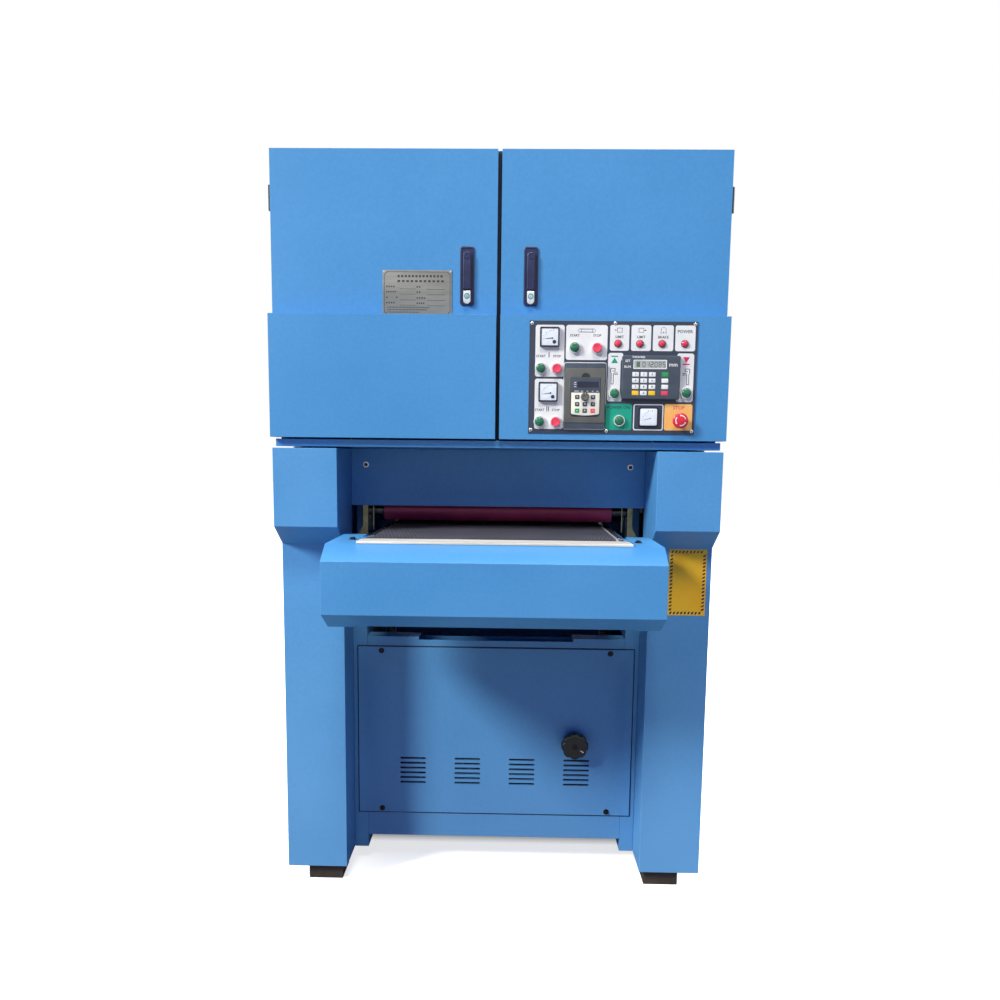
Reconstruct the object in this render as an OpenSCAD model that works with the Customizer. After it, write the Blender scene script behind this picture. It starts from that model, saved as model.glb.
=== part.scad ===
// Two-head wide-belt panel sander with a rising conveyor table.
// It stands on the floor at z = 0. The panel is fed along +y, the doors face -y, and x = 0 is the middle.

/* [Whole machine] */
// Length over the table's front and rear covers
overall_depth = 1570; // [1540:1:1640]
// Height of the cabinet's roof
cabinet_top_z = 1940; // [1925:1:2000]
// How far the table reaches behind the columns
rear_reach = 187; // [180:1:195]
// How far each column stands in from the doors' edge
column_inset = 5; // [2:0.5:8]
// How far each side of the cabinet stands in from the doors' edge
cabinet_inset = 10; // [8:0.5:12]

/* [Columns and frame] */
// Width of a column cover
column_w = 164; // [155:1:172]
// How far the legs stand behind the doors
leg_setback = 80; // [70:1:90]
// How far the frame's front posts stand behind the doors
frame_setback = 212; // [205:1:220]
// Height of the feet
foot_h = 42; // [35:1:50]
// Height where the leg meets the bevel under the shoulder
leg_top_z = 947; // [930:1:960]
// Height of the shoulder's lower edge
shoulder_low_z = 998; // [985:1:1010]
// Height of the shoulder's top
shoulder_top_z = 1199; // [1190:1:1200]
// Thickness of the column covers' sheet
cover_t = 2.5; // [2:0.1:3]
// Width of a frame post
post_w = 40; // [36:1:44]
// Depth of a frame post
post_d = 60; // [50:1:64]
// Wall of the frame tubes
tube_wall = 4; // [3:0.5:5]

/* [Doors and cabinet] */
// Height of the sill that the cabinet stands on
sill_z = 1203; // [1201:0.5:1206]
// Thickness of the sill
sill_t = 19; // [16:0.5:21]
// How far the sill stands behind the doors
sill_setback = 18; // [14:1:22]
// Height of the doors' lower edge
door_low_z = 1226; // [1225:0.5:1230]
// Height where the door steps forward into its lower box
door_step_z = 1531; // [1515:1:1545]
// Height of the doors' upper edge
door_top_z = 1936; // [1925:0.5:1937]
// How far the lower box stands in front of the upper door
door_step = 47; // [40:1:55]
// Thickness of the upper door
door_t = 25; // [22:1:30]
// Thickness of the doors' sheet
door_sheet = 2.5; // [2:0.1:3]
// Gap between the two doors
door_gap = 10; // [6:0.5:14]
// Thickness of the cabinet's sheet
cabinet_t = 2.5; // [2:0.1:3]
// Radius of a hinge barrel
hinge_r = 7; // [6:0.25:8]
// Height of a hinge
hinge_h = 62; // [50:1:80]

/* [Conveyor table] */
// How far the table's front cover reaches in front of the doors
table_reach = 273; // [260:1:290]
// Width of the table covers
table_w = 790; // [780:1:800]
// Height of the table covers' top
table_top_z = 979; // [976:0.5:981]
// Height of the table covers' lower edge
table_low_z = 778; // [765:1:790]
// Height of the sanding belt's upper face
belt_top_z = 986; // [985:0.25:988]
// Gap between the feed belt and each side plate of the table
belt_inset = 18; // [14:1:38]
// Thickness of the feed belt
feed_belt_t = 3; // [2:0.25:4]
// Radius inside the feed belt at its rollers
feed_roller_r = 40; // [34:1:42]
// Opening between the belt and the press rollers
feed_gap = 14; // [8:0.5:18]

/* [Sanding heads] */
// Share of the frame's depth that lies between the two contact rollers
head_share = 0.4308; // [0.41:0.005:0.44]
// Radius of a contact roller
contact_r = 70; // [60:1:74]
// Radius of a tension roller
tension_r = 50; // [40:1:55]
// Distance from a contact roller's axis up to its tension roller's
head_h = 573; // [540:1:590]
// Thickness of an abrasive belt
abrasive_t = 1.5; // [1:0.1:2]
// Gap between the rollers' faces and the head plates
face_gap = 29.7; // [26:0.1:36]
// Radius of a press roller
press_r = 28; // [24:0.5:30]
// How far the press rollers stand below the contact rollers
press_drop = 2; // [1:0.25:3]

/* [Panels] */
// Gap between a lower panel and each column
panel_gap = 14.5; // [11:0.5:26]
// Height of the lower panels' lower edge
panel_low_z = 151; // [145:1:160]
// Height of the lower panels' upper edge
panel_top_z = 641; // [600:1:660]
// Thickness of the panels
panel_t = 3; // [2:0.25:4]
// Height of the guards' lower edge
guard_low_z = 1043; // [1040:1:1060]
// Radius of the hand knob on the lower front panel
hand_knob_r = 38; // [32:1:42]

/* [Controls] */
// Width of the control plate
plate_w = 415; // [400:1:425]
// Height of the control plate
plate_h = 275; // [265:1:285]
// Thickness of the control plate
plate_t = 2; // [1.5:0.25:3]
// Radius of a push button
button_r = 11; // [10:0.25:12]
// Travel of a push button
button_travel = 4; // [3:0.25:4.5]
// Radius of the emergency stop's mushroom
mushroom_r = 19.5; // [18:0.5:22]
// Distance of a door latch from the machine's middle
latch_x = 80; // [75:1:95]
// Height of a door latch's middle
latch_z = 1631; // [1620:1:1700]

/* [Hidden] */
$fn = 72;
over = 1;            // overrun of every cut
seam = 0.3;          // gap between neighbouring pieces that are seated on each other
run_fit = 0.05;      // radial clearance of a shaft in its bore
loop_steps = 24;     // steps round each end of a belt

// Planes across the feed, front to back
table_half_l = overall_depth / 2;
table_front_y = -table_half_l;
door_y = table_front_y + table_reach;
upper_door_y = door_y + door_step;
door_back_y = upper_door_y + door_t;
leg_y = door_y + leg_setback;
column_back_y = table_half_l - rear_reach;
frame_y = door_y + frame_setback;
mid_y = (leg_y + column_back_y) / 2;
frame_back_y = 2 * mid_y - frame_y;
cabinet_gap = 2;
cabinet_y = door_back_y + cabinet_gap;

// Planes along x, measured from the middle
table_gap = 11;
column_in_x = table_w / 2 + table_gap;
column_x = column_in_x + column_w;
door_x = column_x + column_inset;
cabinet_x = door_x - cabinet_inset;
post_x = column_in_x - post_w;
outer_post_x = column_x - cover_t - seam - post_w;

// Frame heights
rail_h = 60;
rail_top_z = foot_h + rail_h;
beam_h = 64;
beam_z = sill_z - beam_h;
crossbar_rise = 37;
crossbar_low_z = foot_h + crossbar_rise;
crossbar_h = 100;
mid_beam_h = 60;
mid_beam_z = panel_top_z - mid_beam_h / 2;
notch_inset = 147.5;
notch_w = 2 * (post_x - notch_inset);
notch_h = 9;
upper_post_setback = 80;
upper_post_y = [frame_y + upper_post_setback, frame_back_y - upper_post_setback - post_d];
mid_rail_z = mid_beam_z + mid_beam_h + seam;
base_plate_t = 6;

// Feet
foot_w = 94;
foot_l = 100;
foot_inset = 15;
foot_x = column_in_x + foot_inset;

// Heads
press_z = belt_top_z + feed_gap + press_r;
contact_z = belt_top_z + feed_gap + press_drop + abrasive_t + contact_r;
tension_z = contact_z + head_h;
head_plate_t = 16;
head_plate_x = post_x - seam - head_plate_t;
head_drop = 60;
head_low_z = contact_z - head_drop;
head_top_z = tension_z + tension_r;
head_pitch = (frame_back_y - frame_y) * head_share;
head_y = [mid_y - head_pitch / 2, mid_y + head_pitch / 2];
roller_face_w = 2 * (head_plate_x - face_gap);
head_reach = 90;
shaft_r = 20;
block_w = 90;
block_t = 35;
abrasive_inset = 15;
abrasive_w = roller_face_w - 2 * abrasive_inset;
pulley_r = 60;
pulley_w = 60;
pulley_gap = 24;
pulley_x = column_in_x + pulley_gap;
v_belt_t = 10;
v_belt_w = 13;
v_groove = 5;
press_shaft_r = 12;
press_setback = 38;
press_y = [frame_y + press_setback, frame_back_y - press_setback];
bracket_t = 14;
bracket_w = 36;
bracket_flare = 14;
bracket_drop = 40;
bracket_foot_h = 26;
spring_rod_r = 2.5;

// Motors on the base plate
motor_r = 90;
motor_len = 330;
motor_x0 = -20;
motor_foot_h = 22;
motor_z = rail_top_z + motor_foot_h + motor_r;
motor_shaft_r = 19;
motor_fins = 20;
fin_depth = 8;
fin_t = 4;

// Table
cover_len = 303;
side_t = 12;
side_gap = 36;
side_x = post_x - side_gap - side_t;
feed_belt_w = 2 * (side_x - belt_inset);
side_low_z = 850;
side_top_z = 975;
bed_t = 5.7;
belt_gap = 2;
feed_roller_inset = 173;
feed_roller_y = table_half_l - feed_roller_inset;
feed_axis_z = belt_top_z - feed_belt_t - feed_roller_r;
feed_shaft_r = 15;
chamfer_top = [61, 35];
chamfer_low = [78, 42];
entry_gap = 7.5;
entry_w = 2 * (side_x + side_t - entry_gap);
entry_d = 70;
entry_t = 6;
travel_up = 12;
screw_r = 16;
screw_y = mid_y;
screw_x = (side_x + side_t + post_x) / 2;
nut_w = 64;

// Doors and latches
hinge_out = 6;
hinge_back = 10;
hinge_x = door_x + hinge_out;
hinge_y = door_back_y + hinge_back;
hinge_pin_r = 3;
hinge_rise = 64;
hinge_drop = 79;
hinge_z = [door_low_z + hinge_rise, door_top_z - hinge_h - hinge_drop];
latch_w = 36;
latch_h = 144;
latch_t = 3;
latch_corner = 8;
lever_w = 20;
lever_t = 9;
lever_l = 92;
lever_drop = 24;
lever_z = latch_z + latch_h / 2 - lever_drop;
spindle_r = 6;
tongue_l = 46;
tongue_h = 18;
tongue_t = 4;
latch_button_r = 9;
latch_button_l = 32;
latch_button_t = 6;
latch_button_z = latch_z - latch_h / 2 + latch_button_l / 2 + latch_t;
latch_travel = 3;
latch_stem_r = 4;
latch_stem_l = 12;
catch_w = 60;

// Control plate: places are shares of the plate's width from its left edge and of its height from its top
plate_x = 78;
plate_drop = 14;
plate_z = door_step_z - plate_drop;
plate_y = door_y - plate_t;
collar_t = 7;
collar_w = 3.5;
cap_t = 7;
cap_stand = 5;
stem_r = 6;
stem_l = 30;
lamp_r = 9.4;
lamp_h = 7;
screw_head_r = 4.5;
screw_head_t = 2.5;
button_shares = [[0.070, 0.420], [0.166, 0.423], [0.067, 0.897], [0.164, 0.898], [0.270, 0.234],
                 [0.403, 0.238], [0.514, 0.639], [0.943, 0.630]];
power_share = [0.547, 0.882];
stop_share = [0.908, 0.878];
lamp_shares = [[0.528, 0.196], [0.658, 0.196], [0.790, 0.195], [0.925, 0.194]];
meter_shares = [[0.120, 0.144], [0.116, 0.630], [0.722, 0.848]];
plate_screw_shares = [[0.015, 0.024], [0.509, 0.020], [0.985, 0.024], [0.015, 0.970], [0.472, 0.975], [0.985, 0.972]];
meter_w = 48;
meter_t = 9;
inverter_shares = [[0.207, 0.366], [0.465, 0.962]];
inverter_t = 11;
inverter_knob_share = [0.336, 0.672];
inverter_knob_r = 10.5;
inverter_knob_t = 12;
readout_shares = [[0.554, 0.303], [0.901, 0.689]];
readout_t = 12;

// Helpers

module block(low, high) { translate(low) cube(high - low); }

module both_sides() {
    children();
    mirror([1, 0, 0]) children();
}

module rod_x(r, x0, x1, y, z) { translate([x0, y, z]) rotate([0, 90, 0]) cylinder(r = r, h = x1 - x0); }

module rod_y(r, y0, y1, x, z) { translate([x, y0, z]) rotate([-90, 0, 0]) cylinder(r = r, h = y1 - y0); }

module rod_z(r, z0, z1, x, y) { translate([x, y, z0]) cylinder(r = r, h = z1 - z0); }

// An outline in y and z, drawn out along x
module side_profile(points, x0, x1) {
    translate([x0, 0, 0]) rotate([90, 0, 90]) linear_extrude(x1 - x0) polygon(points);
}

// A tube of the frame: a block with its bore running through along one axis (0 is x, 1 is y, 2 is z)
module tube(low, high, along) {
    inset = [for (i = [0:2]) i == along ? -over : tube_wall];
    difference() {
        block(low, high);
        block(low + inset, high - inset);
    }
}

// The outline of a belt round two circles
function belt_outline(c1, r1, c2, r2) =
    let (d = c2 - c1, f = atan2(d.y, d.x), b = acos((r1 - r2) / norm(d)))
    concat([for (i = [0:loop_steps]) let (a = f - b + 2 * b * i / loop_steps) c2 + r2 * [cos(a), sin(a)]],
           [for (i = [0:loop_steps]) let (a = f + b + (360 - 2 * b) * i / loop_steps) c1 + r1 * [cos(a), sin(a)]]);

module belt_loop(c1, r1, c2, r2, t, x0, x1) {
    translate([x0, 0, 0]) rotate([90, 0, 90]) linear_extrude(x1 - x0) difference() {
        polygon(belt_outline(c1, r1 + t, c2, r2 + t));
        polygon(belt_outline(c1, r1, c2, r2));
    }
}

// A plate in x and z with round corners, standing in front of the plane y
module round_plate(x, z, w, h, r, y, t) {
    translate([x, y, z]) rotate([90, 0, 0]) linear_extrude(t) {
        square([w - 2 * r, h], center = true);
        square([w, h - 2 * r], center = true);
        for (i = [-1, 1], j = [-1, 1]) translate([i * (w / 2 - r), j * (h / 2 - r)]) circle(r);
    }
}

// Place of a share on the control plate, as x and z
function on_plate(share) = [plate_x + share.x * plate_w, plate_z - share.y * plate_h];

// Frame

module base_frame() {
    color("steelblue") both_sides() {
        for (y = [frame_y, frame_back_y - post_d]) {
            tube([post_x, y, foot_h + seam], [column_in_x, y + post_d, mid_rail_z + rail_h], 2);
            tube([outer_post_x, y, rail_top_z + seam], [outer_post_x + post_w, y + post_d, beam_z - seam], 2);
            tube([column_in_x + seam, y, foot_h + seam], [outer_post_x - seam, y + post_d, rail_top_z], 0);
            tube([column_in_x + seam, y, beam_z], [outer_post_x - seam, y + post_d, sill_z - seam], 0);
        }
        for (y = [leg_y + foot_inset, column_back_y - foot_inset - foot_l])
            tube([column_in_x + cover_t, y, foot_h + seam], [outer_post_x - seam, y + foot_l, rail_top_z], 0);
        for (y = upper_post_y)
            tube([post_x, y, mid_rail_z + rail_h + seam], [column_in_x, y + post_d, beam_z - seam], 2);
        for (z = [foot_h + seam, mid_rail_z])
            tube([post_x, frame_y + post_d + seam, z], [column_in_x, frame_back_y - post_d - seam, z + rail_h - seam], 1);
        tube([outer_post_x, leg_y + foot_inset, foot_h + seam],
             [outer_post_x + post_w, column_back_y - foot_inset, rail_top_z], 1);
        tube([post_x, frame_y, beam_z], [column_in_x, frame_back_y, sill_z - seam], 1);
        tube([outer_post_x, frame_y, beam_z], [outer_post_x + post_w, frame_back_y, sill_z - seam], 1);
    }
    color("steelblue") {
        for (y = [frame_y, frame_back_y - post_d]) {
            tube([-post_x + seam, y, crossbar_low_z], [post_x - seam, y + post_d, crossbar_low_z + crossbar_h], 0);
            difference() {
                tube([-post_x + seam, y, mid_beam_z], [post_x - seam, y + post_d, mid_beam_z + mid_beam_h], 0);
                block([-notch_w / 2, y - over, mid_beam_z + mid_beam_h - notch_h],
                      [notch_w / 2, y + post_d + over, mid_beam_z + mid_beam_h + over]);
            }
            tube([-post_x + seam, y, beam_z], [post_x - seam, y + post_w, sill_z - seam], 0);
        }
        block([-post_x + seam, frame_y + post_d + seam, rail_top_z - base_plate_t],
              [post_x - seam, frame_back_y - post_d - seam, rail_top_z]);
    }
}

module feet() {
    color("dimgray") both_sides() for (y = [leg_y + foot_inset, column_back_y - foot_inset - foot_l])
        block([foot_x, y, 0], [foot_x + foot_w, y + foot_l, foot_h]);
}

// Side outline of a column cover with its shoulder, drawn in by t on the front and the top
function column_outline(t, back) = [
    [leg_y + t, foot_h - (t > 0 ? over : 0)], [leg_y + t, leg_top_z], [door_y + t, shoulder_low_z],
    [door_y + t, shoulder_top_z - t], [back, shoulder_top_z - t], [back, foot_h - (t > 0 ? over : 0)]];

module column_cover() {
    difference() {
        side_profile(column_outline(0, frame_y - seam), column_in_x, column_x);
        side_profile(column_outline(cover_t, frame_y + over), column_in_x + cover_t, column_x - cover_t);
    }
}

module left_column_cover() { color("dodgerblue") mirror([1, 0, 0]) column_cover(); }

module right_column_cover() { color("dodgerblue") column_cover(); }

vent_w = 110;
vent_h = 5;
vent_pitch = 16;
vent_rows = 8;

module side_panels() {
    color("dodgerblue") both_sides() difference() {
        block([column_x - cover_t, frame_y, foot_h], [column_x, frame_back_y, shoulder_top_z]);
        for (y = [frame_y + post_d + vent_w, frame_back_y - post_d - 2 * vent_w], i = [0:vent_rows - 1])
            block([column_x - cover_t - over, y, panel_low_z + vent_w + i * vent_pitch],
                  [column_x + over, y + vent_w, panel_low_z + vent_w + i * vent_pitch + vent_h]);
    }
}

panel_w = 2 * (column_in_x - panel_gap);
louvre_w = 72;
louvre_h = 4;
louvre_rows = 6;
louvre_pitch = 14.4;
louvre_rise = 89;
louvre_low_z = panel_low_z + louvre_rise;
louvre_x = 157;
hand_knob_x = 228;
hand_knob_rise = 217;
hand_knob_z = panel_low_z + hand_knob_rise;
hand_shaft_r = 6;

module lower_front_panel() {
    color("steelblue") difference() {
        block([-panel_w / 2, frame_y - seam - panel_t, panel_low_z], [panel_w / 2, frame_y - seam, panel_top_z]);
        for (i = [-1.5:1:1.5], j = [0:louvre_rows - 1])
            block([i * louvre_x - louvre_w / 2, frame_y - seam - panel_t - over, louvre_low_z + j * louvre_pitch],
                  [i * louvre_x + louvre_w / 2, frame_y + over, louvre_low_z + j * louvre_pitch + louvre_h]);
        rod_y(hand_shaft_r + run_fit, frame_y - seam - panel_t - over, frame_y + over, hand_knob_x, hand_knob_z);
    }
}

guard_lip_h = 30;
guard_lip = 5;
guard_x = column_in_x - seam;

// Side outline of a guard with the slight fold along its lower edge; out is -1 at the front and 1 at the back
function guard_outline(y, out) = [
    [y, shoulder_top_z], [y + out * panel_t, shoulder_top_z], [y + out * panel_t, guard_low_z + guard_lip_h],
    [y + out * (panel_t + guard_lip), guard_low_z], [y + out * guard_lip, guard_low_z],
    [y, guard_low_z + guard_lip_h]];

module front_guard() { color("steelblue") side_profile(guard_outline(frame_y - seam, -1), -guard_x, guard_x); }

module rear_covers() {
    color("steelblue") {
        both_sides() difference() {
            block([column_in_x, frame_back_y + seam, foot_h], [column_x, column_back_y, shoulder_top_z]);
            block([column_in_x + cover_t, frame_back_y - over, foot_h - over],
                  [column_x - cover_t, column_back_y - cover_t, shoulder_top_z - cover_t]);
        }
        block([-panel_w / 2, frame_back_y + seam, panel_low_z], [panel_w / 2, frame_back_y + seam + panel_t, panel_top_z]);
        side_profile(guard_outline(frame_back_y + seam, 1), -guard_x, guard_x);
    }
}

// Cabinet

outlet_r = 50;
outlet_wall = 1.5;
outlet_l = 70;
outlet_flange = 18;
outlet_x = 200;
outlet_drop = 180;
outlet_z = cabinet_top_z - outlet_drop;

stile_w = 30;

module cabinet_shell() {
    sill_top_z = sill_z + sill_t;
    color("dodgerblue") {
        block([-cabinet_x, cabinet_y, cabinet_top_z - cabinet_t], [cabinet_x, column_back_y, cabinet_top_z]);
        both_sides() {
            block([cabinet_x - cabinet_t, cabinet_y, sill_top_z + seam],
                  [cabinet_x, column_back_y, cabinet_top_z - cabinet_t - seam]);
            block([post_x + seam, frame_y + post_w + seam, sill_z], [cabinet_x, frame_back_y - post_w - seam, sill_top_z]);
            block([cabinet_x - stile_w, cabinet_y, sill_top_z + seam],
                  [cabinet_x - cabinet_t - seam, cabinet_y + cabinet_t, cabinet_top_z - cabinet_t - seam]);
        }
        difference() {
            block([-cabinet_x + cabinet_t + seam, column_back_y - cabinet_t, sill_top_z + seam],
                  [cabinet_x - cabinet_t - seam, column_back_y, cabinet_top_z - cabinet_t - seam]);
            for (i = [-1, 1]) rod_y(outlet_r - outlet_wall, column_back_y - cabinet_t - over, column_back_y + over,
                                    i * outlet_x, outlet_z);
        }
        block([-cabinet_x, door_y + sill_setback, sill_z], [cabinet_x, frame_y + post_w, sill_top_z]);
        block([-cabinet_x, frame_back_y - post_w, sill_z], [cabinet_x, column_back_y, sill_top_z]);
        block([-catch_w / 2, cabinet_y, sill_top_z + seam],
              [catch_w / 2, cabinet_y + cabinet_t, cabinet_top_z - cabinet_t - seam]);
    }
}

module dust_outlets() {
    color("dodgerblue") for (i = [-1, 1]) difference() {
        union() {
            rod_y(outlet_r, column_back_y + seam, column_back_y + outlet_l, i * outlet_x, outlet_z);
            rod_y(outlet_r + outlet_flange, column_back_y + seam, column_back_y + cabinet_t, i * outlet_x, outlet_z);
        }
        rod_y(outlet_r - outlet_wall, column_back_y - over, column_back_y + outlet_l + over, i * outlet_x, outlet_z);
    }
}

knuckle_gap = 1;

module door_hinges() {
    color("silver") both_sides() for (z = hinge_z) {
        rod_z(hinge_pin_r, z, z + hinge_h, hinge_x, hinge_y);
        rod_z(hinge_r, z, z + hinge_h / 2 - knuckle_gap / 2, hinge_x, hinge_y);
        block([cabinet_x + seam, hinge_y - cabinet_t / 2, z],
              [hinge_x, hinge_y + cabinet_t / 2, z + hinge_h / 2 - knuckle_gap / 2]);
    }
}

// Sanding heads

module head_frame() {
    color("slategray") for (side = [-1, 1], y = head_y) {
        x0 = side > 0 ? head_plate_x : -head_plate_x - head_plate_t;
        difference() {
            block([x0, y - head_reach / 2 - shaft_r, head_low_z],
                  [x0 + head_plate_t, y + head_reach / 2 + shaft_r, head_top_z]);
            for (z = [contact_z, tension_z]) rod_x(shaft_r + run_fit, x0 - over, x0 + head_plate_t + over, y, z);
        }
        bx = side > 0 ? head_plate_x + head_plate_t + seam : -head_plate_x - head_plate_t - seam - block_t;
        for (z = [contact_z, tension_z]) difference() {
            block([bx, y - block_w / 2, z - block_w / 2], [bx + block_t, y + block_w / 2, z + block_w / 2]);
            rod_x(shaft_r + run_fit, bx - over, bx + block_t + over, y, z);
        }
    }
}

module abrasive_belts() {
    color("saddlebrown") for (y = head_y)
        belt_loop([y, contact_z], contact_r + seam, [y, tension_z], tension_r + seam, abrasive_t - seam,
                  -abrasive_w / 2, abrasive_w / 2);
}

// A roller across the machine with its shaft ends
module roller(r, face, shaft, x0, x1, y, z) {
    rod_x(r, -face / 2, face / 2, y, z);
    rod_x(shaft, x0, x1, y, z);
}

shaft_x = head_plate_x + head_plate_t + block_t;

module contact_roller(y) {
    color("dimgray") roller(contact_r, roller_face_w, shaft_r, -shaft_x, pulley_x + pulley_w, y, contact_z);
    color("gray") difference() {
        rod_x(pulley_r, pulley_x, pulley_x + pulley_w, y, contact_z);
        for (i = [1:3]) difference() {
            rod_x(pulley_r + over, pulley_x + i * pulley_w / 4 - v_belt_w / 3, pulley_x + i * pulley_w / 4 + v_belt_w / 3,
                  y, contact_z);
            rod_x(pulley_r - v_groove, pulley_x, pulley_x + pulley_w, y, contact_z);
        }
    }
}

module contact_roller_1() { contact_roller(head_y[0]); }

module contact_roller_2() { contact_roller(head_y[1]); }

module tension_roller(y) { color("silver") roller(tension_r, roller_face_w, shaft_r, -shaft_x, shaft_x, y, tension_z); }

module tension_roller_1() { tension_roller(head_y[0]); }

module tension_roller_2() { tension_roller(head_y[1]); }

module press_roller(y, skin) {
    color(skin) rod_x(press_r, -roller_face_w / 2, roller_face_w / 2, y, press_z);
    color("silver") rod_x(press_shaft_r, -post_x - bracket_t + seam, post_x + bracket_t - seam, y, press_z);
}

module front_press_roller() { press_roller(press_y[0], "firebrick"); }

module rear_press_roller() { press_roller(press_y[1], "firebrick"); }

// The hanging bracket's outline in x and z, with its flared foot
bracket_low_z = press_z - press_r - bracket_drop;
bracket_in = 2;
bracket_x = post_x - bracket_in;

function bracket_outline() = [
    [bracket_x, bracket_low_z], [bracket_x + bracket_t + bracket_flare, bracket_low_z],
    [bracket_x + bracket_t, bracket_low_z + bracket_foot_h], [bracket_x + bracket_t, beam_z - seam],
    [bracket_x, beam_z - seam]];

module roller_brackets() {
    tab_t = 6;
    tab_w = 20;
    tab_x = bracket_x - tab_w;
    color("darkkhaki") both_sides() for (y = press_y) {
        difference() {
            translate([0, y + bracket_w / 2, 0]) rotate([90, 0, 0]) linear_extrude(bracket_w) polygon(bracket_outline());
            rod_x(press_shaft_r + run_fit, bracket_x - over, bracket_x + bracket_t + bracket_flare, y, press_z);
        }
        block([tab_x, y - bracket_w / 2, beam_z - seam - tab_t], [bracket_x, y + bracket_w / 2, beam_z - seam]);
        rod_z(spring_rod_r, bracket_low_z + bracket_drop / 3, beam_z - seam - tab_t / 2,
              tab_x + 2 * spring_rod_r, y - bracket_w / 2 + spring_rod_r);
    }
}

module head_motors() {
    color("slategray") for (y = head_y) {
        rod_x(motor_r - fin_depth, motor_x0 + over, motor_x0 + motor_len - over, y, motor_z);
        rod_x(motor_r, motor_x0, motor_x0 + motor_len / 6, y, motor_z);
        rod_x(motor_r, motor_x0 + motor_len * 5 / 6, motor_x0 + motor_len, y, motor_z);
        for (i = [0:motor_fins - 1]) translate([0, y, motor_z]) rotate([(i + 0.5) * 360 / motor_fins, 0, 0])
            block([motor_x0 + motor_len / 6 - over, -fin_t / 2, motor_r - 2 * fin_depth],
                  [motor_x0 + motor_len * 5 / 6 + over, fin_t / 2, motor_r - over]);
        for (x = [motor_x0 + motor_len / 5, motor_x0 + motor_len * 3 / 4])
            block([x, y - motor_r * 4 / 5, rail_top_z + seam], [x + motor_foot_h * 2, y + motor_r * 4 / 5, rail_top_z + 2 * motor_foot_h]);
        rod_x(motor_shaft_r, motor_x0 + motor_len - over, pulley_x + pulley_w, y, motor_z);
        rod_x(pulley_r, pulley_x, pulley_x + pulley_w, y, motor_z);
        belt_loop([y, motor_z], pulley_r + seam, [y, contact_z], pulley_r + seam, v_belt_t,
                  pulley_x + pulley_w / 4 - v_belt_w / 2, pulley_x + pulley_w * 3 / 4 + v_belt_w / 2);
    }
}

// Lift

gearbox_w = 70;
gearbox_h = 80;
lift_motor_r = 45;
cross_shaft_r = 10;

module lift_drive() {
    gz = rail_top_z + seam;
    color("gray") {
        both_sides() difference() {
            block([screw_x - gearbox_w / 2, screw_y - gearbox_w / 2, gz],
                  [screw_x + gearbox_w / 2, screw_y + gearbox_w / 2, gz + gearbox_h]);
            rod_z(screw_r + run_fit, gz + gearbox_h / 4, gz + gearbox_h + over, screw_x, screw_y);
        }
        rod_x(cross_shaft_r, -screw_x + gearbox_w / 2 + seam, screw_x - gearbox_w / 2 - seam, screw_y, gz + gearbox_h / 2);
        rod_x(lift_motor_r, -screw_x / 2 - gearbox_w, -screw_x / 2 + gearbox_w, screw_y, gz + lift_motor_r);
    }
}

module lift_screw(side) {
    color("silver") rod_z(screw_r, rail_top_z + gearbox_h / 4 + 2 * seam, side_top_z + travel_up + screw_r,
                          side * screw_x, screw_y);
}

module left_lift_screw() { lift_screw(-1); }

module right_lift_screw() { lift_screw(1); }

gear_t = 3;
gear_h = 400;
device_rows = 3;
device_columns = 6;
device_w = 45;
device_d = 60;
device_h = 75;
device_pitch = (frame_back_y - frame_y - 2 * post_d) / device_columns;
device_pitch_z = gear_h / device_rows;

module electrical_gear() {
    gear_x = column_in_x + seam;
    gear_z = mid_rail_z - gear_h / 2;
    color("whitesmoke") mirror([1, 0, 0]) {
        block([gear_x, frame_y, gear_z], [gear_x + gear_t, frame_back_y, gear_z + gear_h]);
        for (i = [0:device_columns - 1], j = [0:device_rows - 1]) {
            y = frame_y + post_d + (i + 0.5) * device_pitch - device_d / 2;
            z = gear_z + (j + 0.5) * device_pitch_z - device_h / 2;
            block([gear_x + gear_t - seam, y, z], [gear_x + gear_t + device_w, y + device_d, z + device_h]);
        }
    }
}

// Fasteners of the frame's panels

guard_screw_inset = 41;
guard_screw_x = column_in_x - guard_screw_inset;
guard_screw_drop = 44;
guard_screw_z = shoulder_top_z - guard_screw_drop;
panel_screw_x_inset = 66.5;
panel_screw_x = panel_w / 2 - panel_screw_x_inset;
panel_screw_inset = 11;
washer_r = 8;
washer_t = 1.2;
head_r = 5;
head_t = 3.5;

module panel_screw(x, y, z) {
    rod_y(washer_r, y - washer_t, y - seam, x, z);
    rod_y(head_r, y - washer_t - head_t, y - washer_t, x, z);
}

module frame_screws() {
    color("dimgray") both_sides() {
        panel_screw(guard_screw_x, frame_y - seam - panel_t, guard_screw_z);
        for (z = [panel_low_z + panel_screw_inset, panel_top_z - panel_screw_inset])
            panel_screw(panel_screw_x, frame_y - seam - panel_t, z);
    }
}

// Doors

// Side outline of a stepped door, drawn in by t
function door_outline(t, back) = [
    [upper_door_y + t, door_top_z - t], [upper_door_y + t, door_step_z - t], [door_y + t, door_step_z - t],
    [door_y + t, door_low_z + t], [back, door_low_z + t], [back, door_top_z - t]];

// Bores for a latch's spindle and for its button's stem
module latch_bores(y0, y1) {
    rod_y(spindle_r + run_fit, y0, y1, latch_x, lever_z);
    rod_y(latch_stem_r + run_fit, y0, y1, latch_x, latch_button_z);
}

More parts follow.
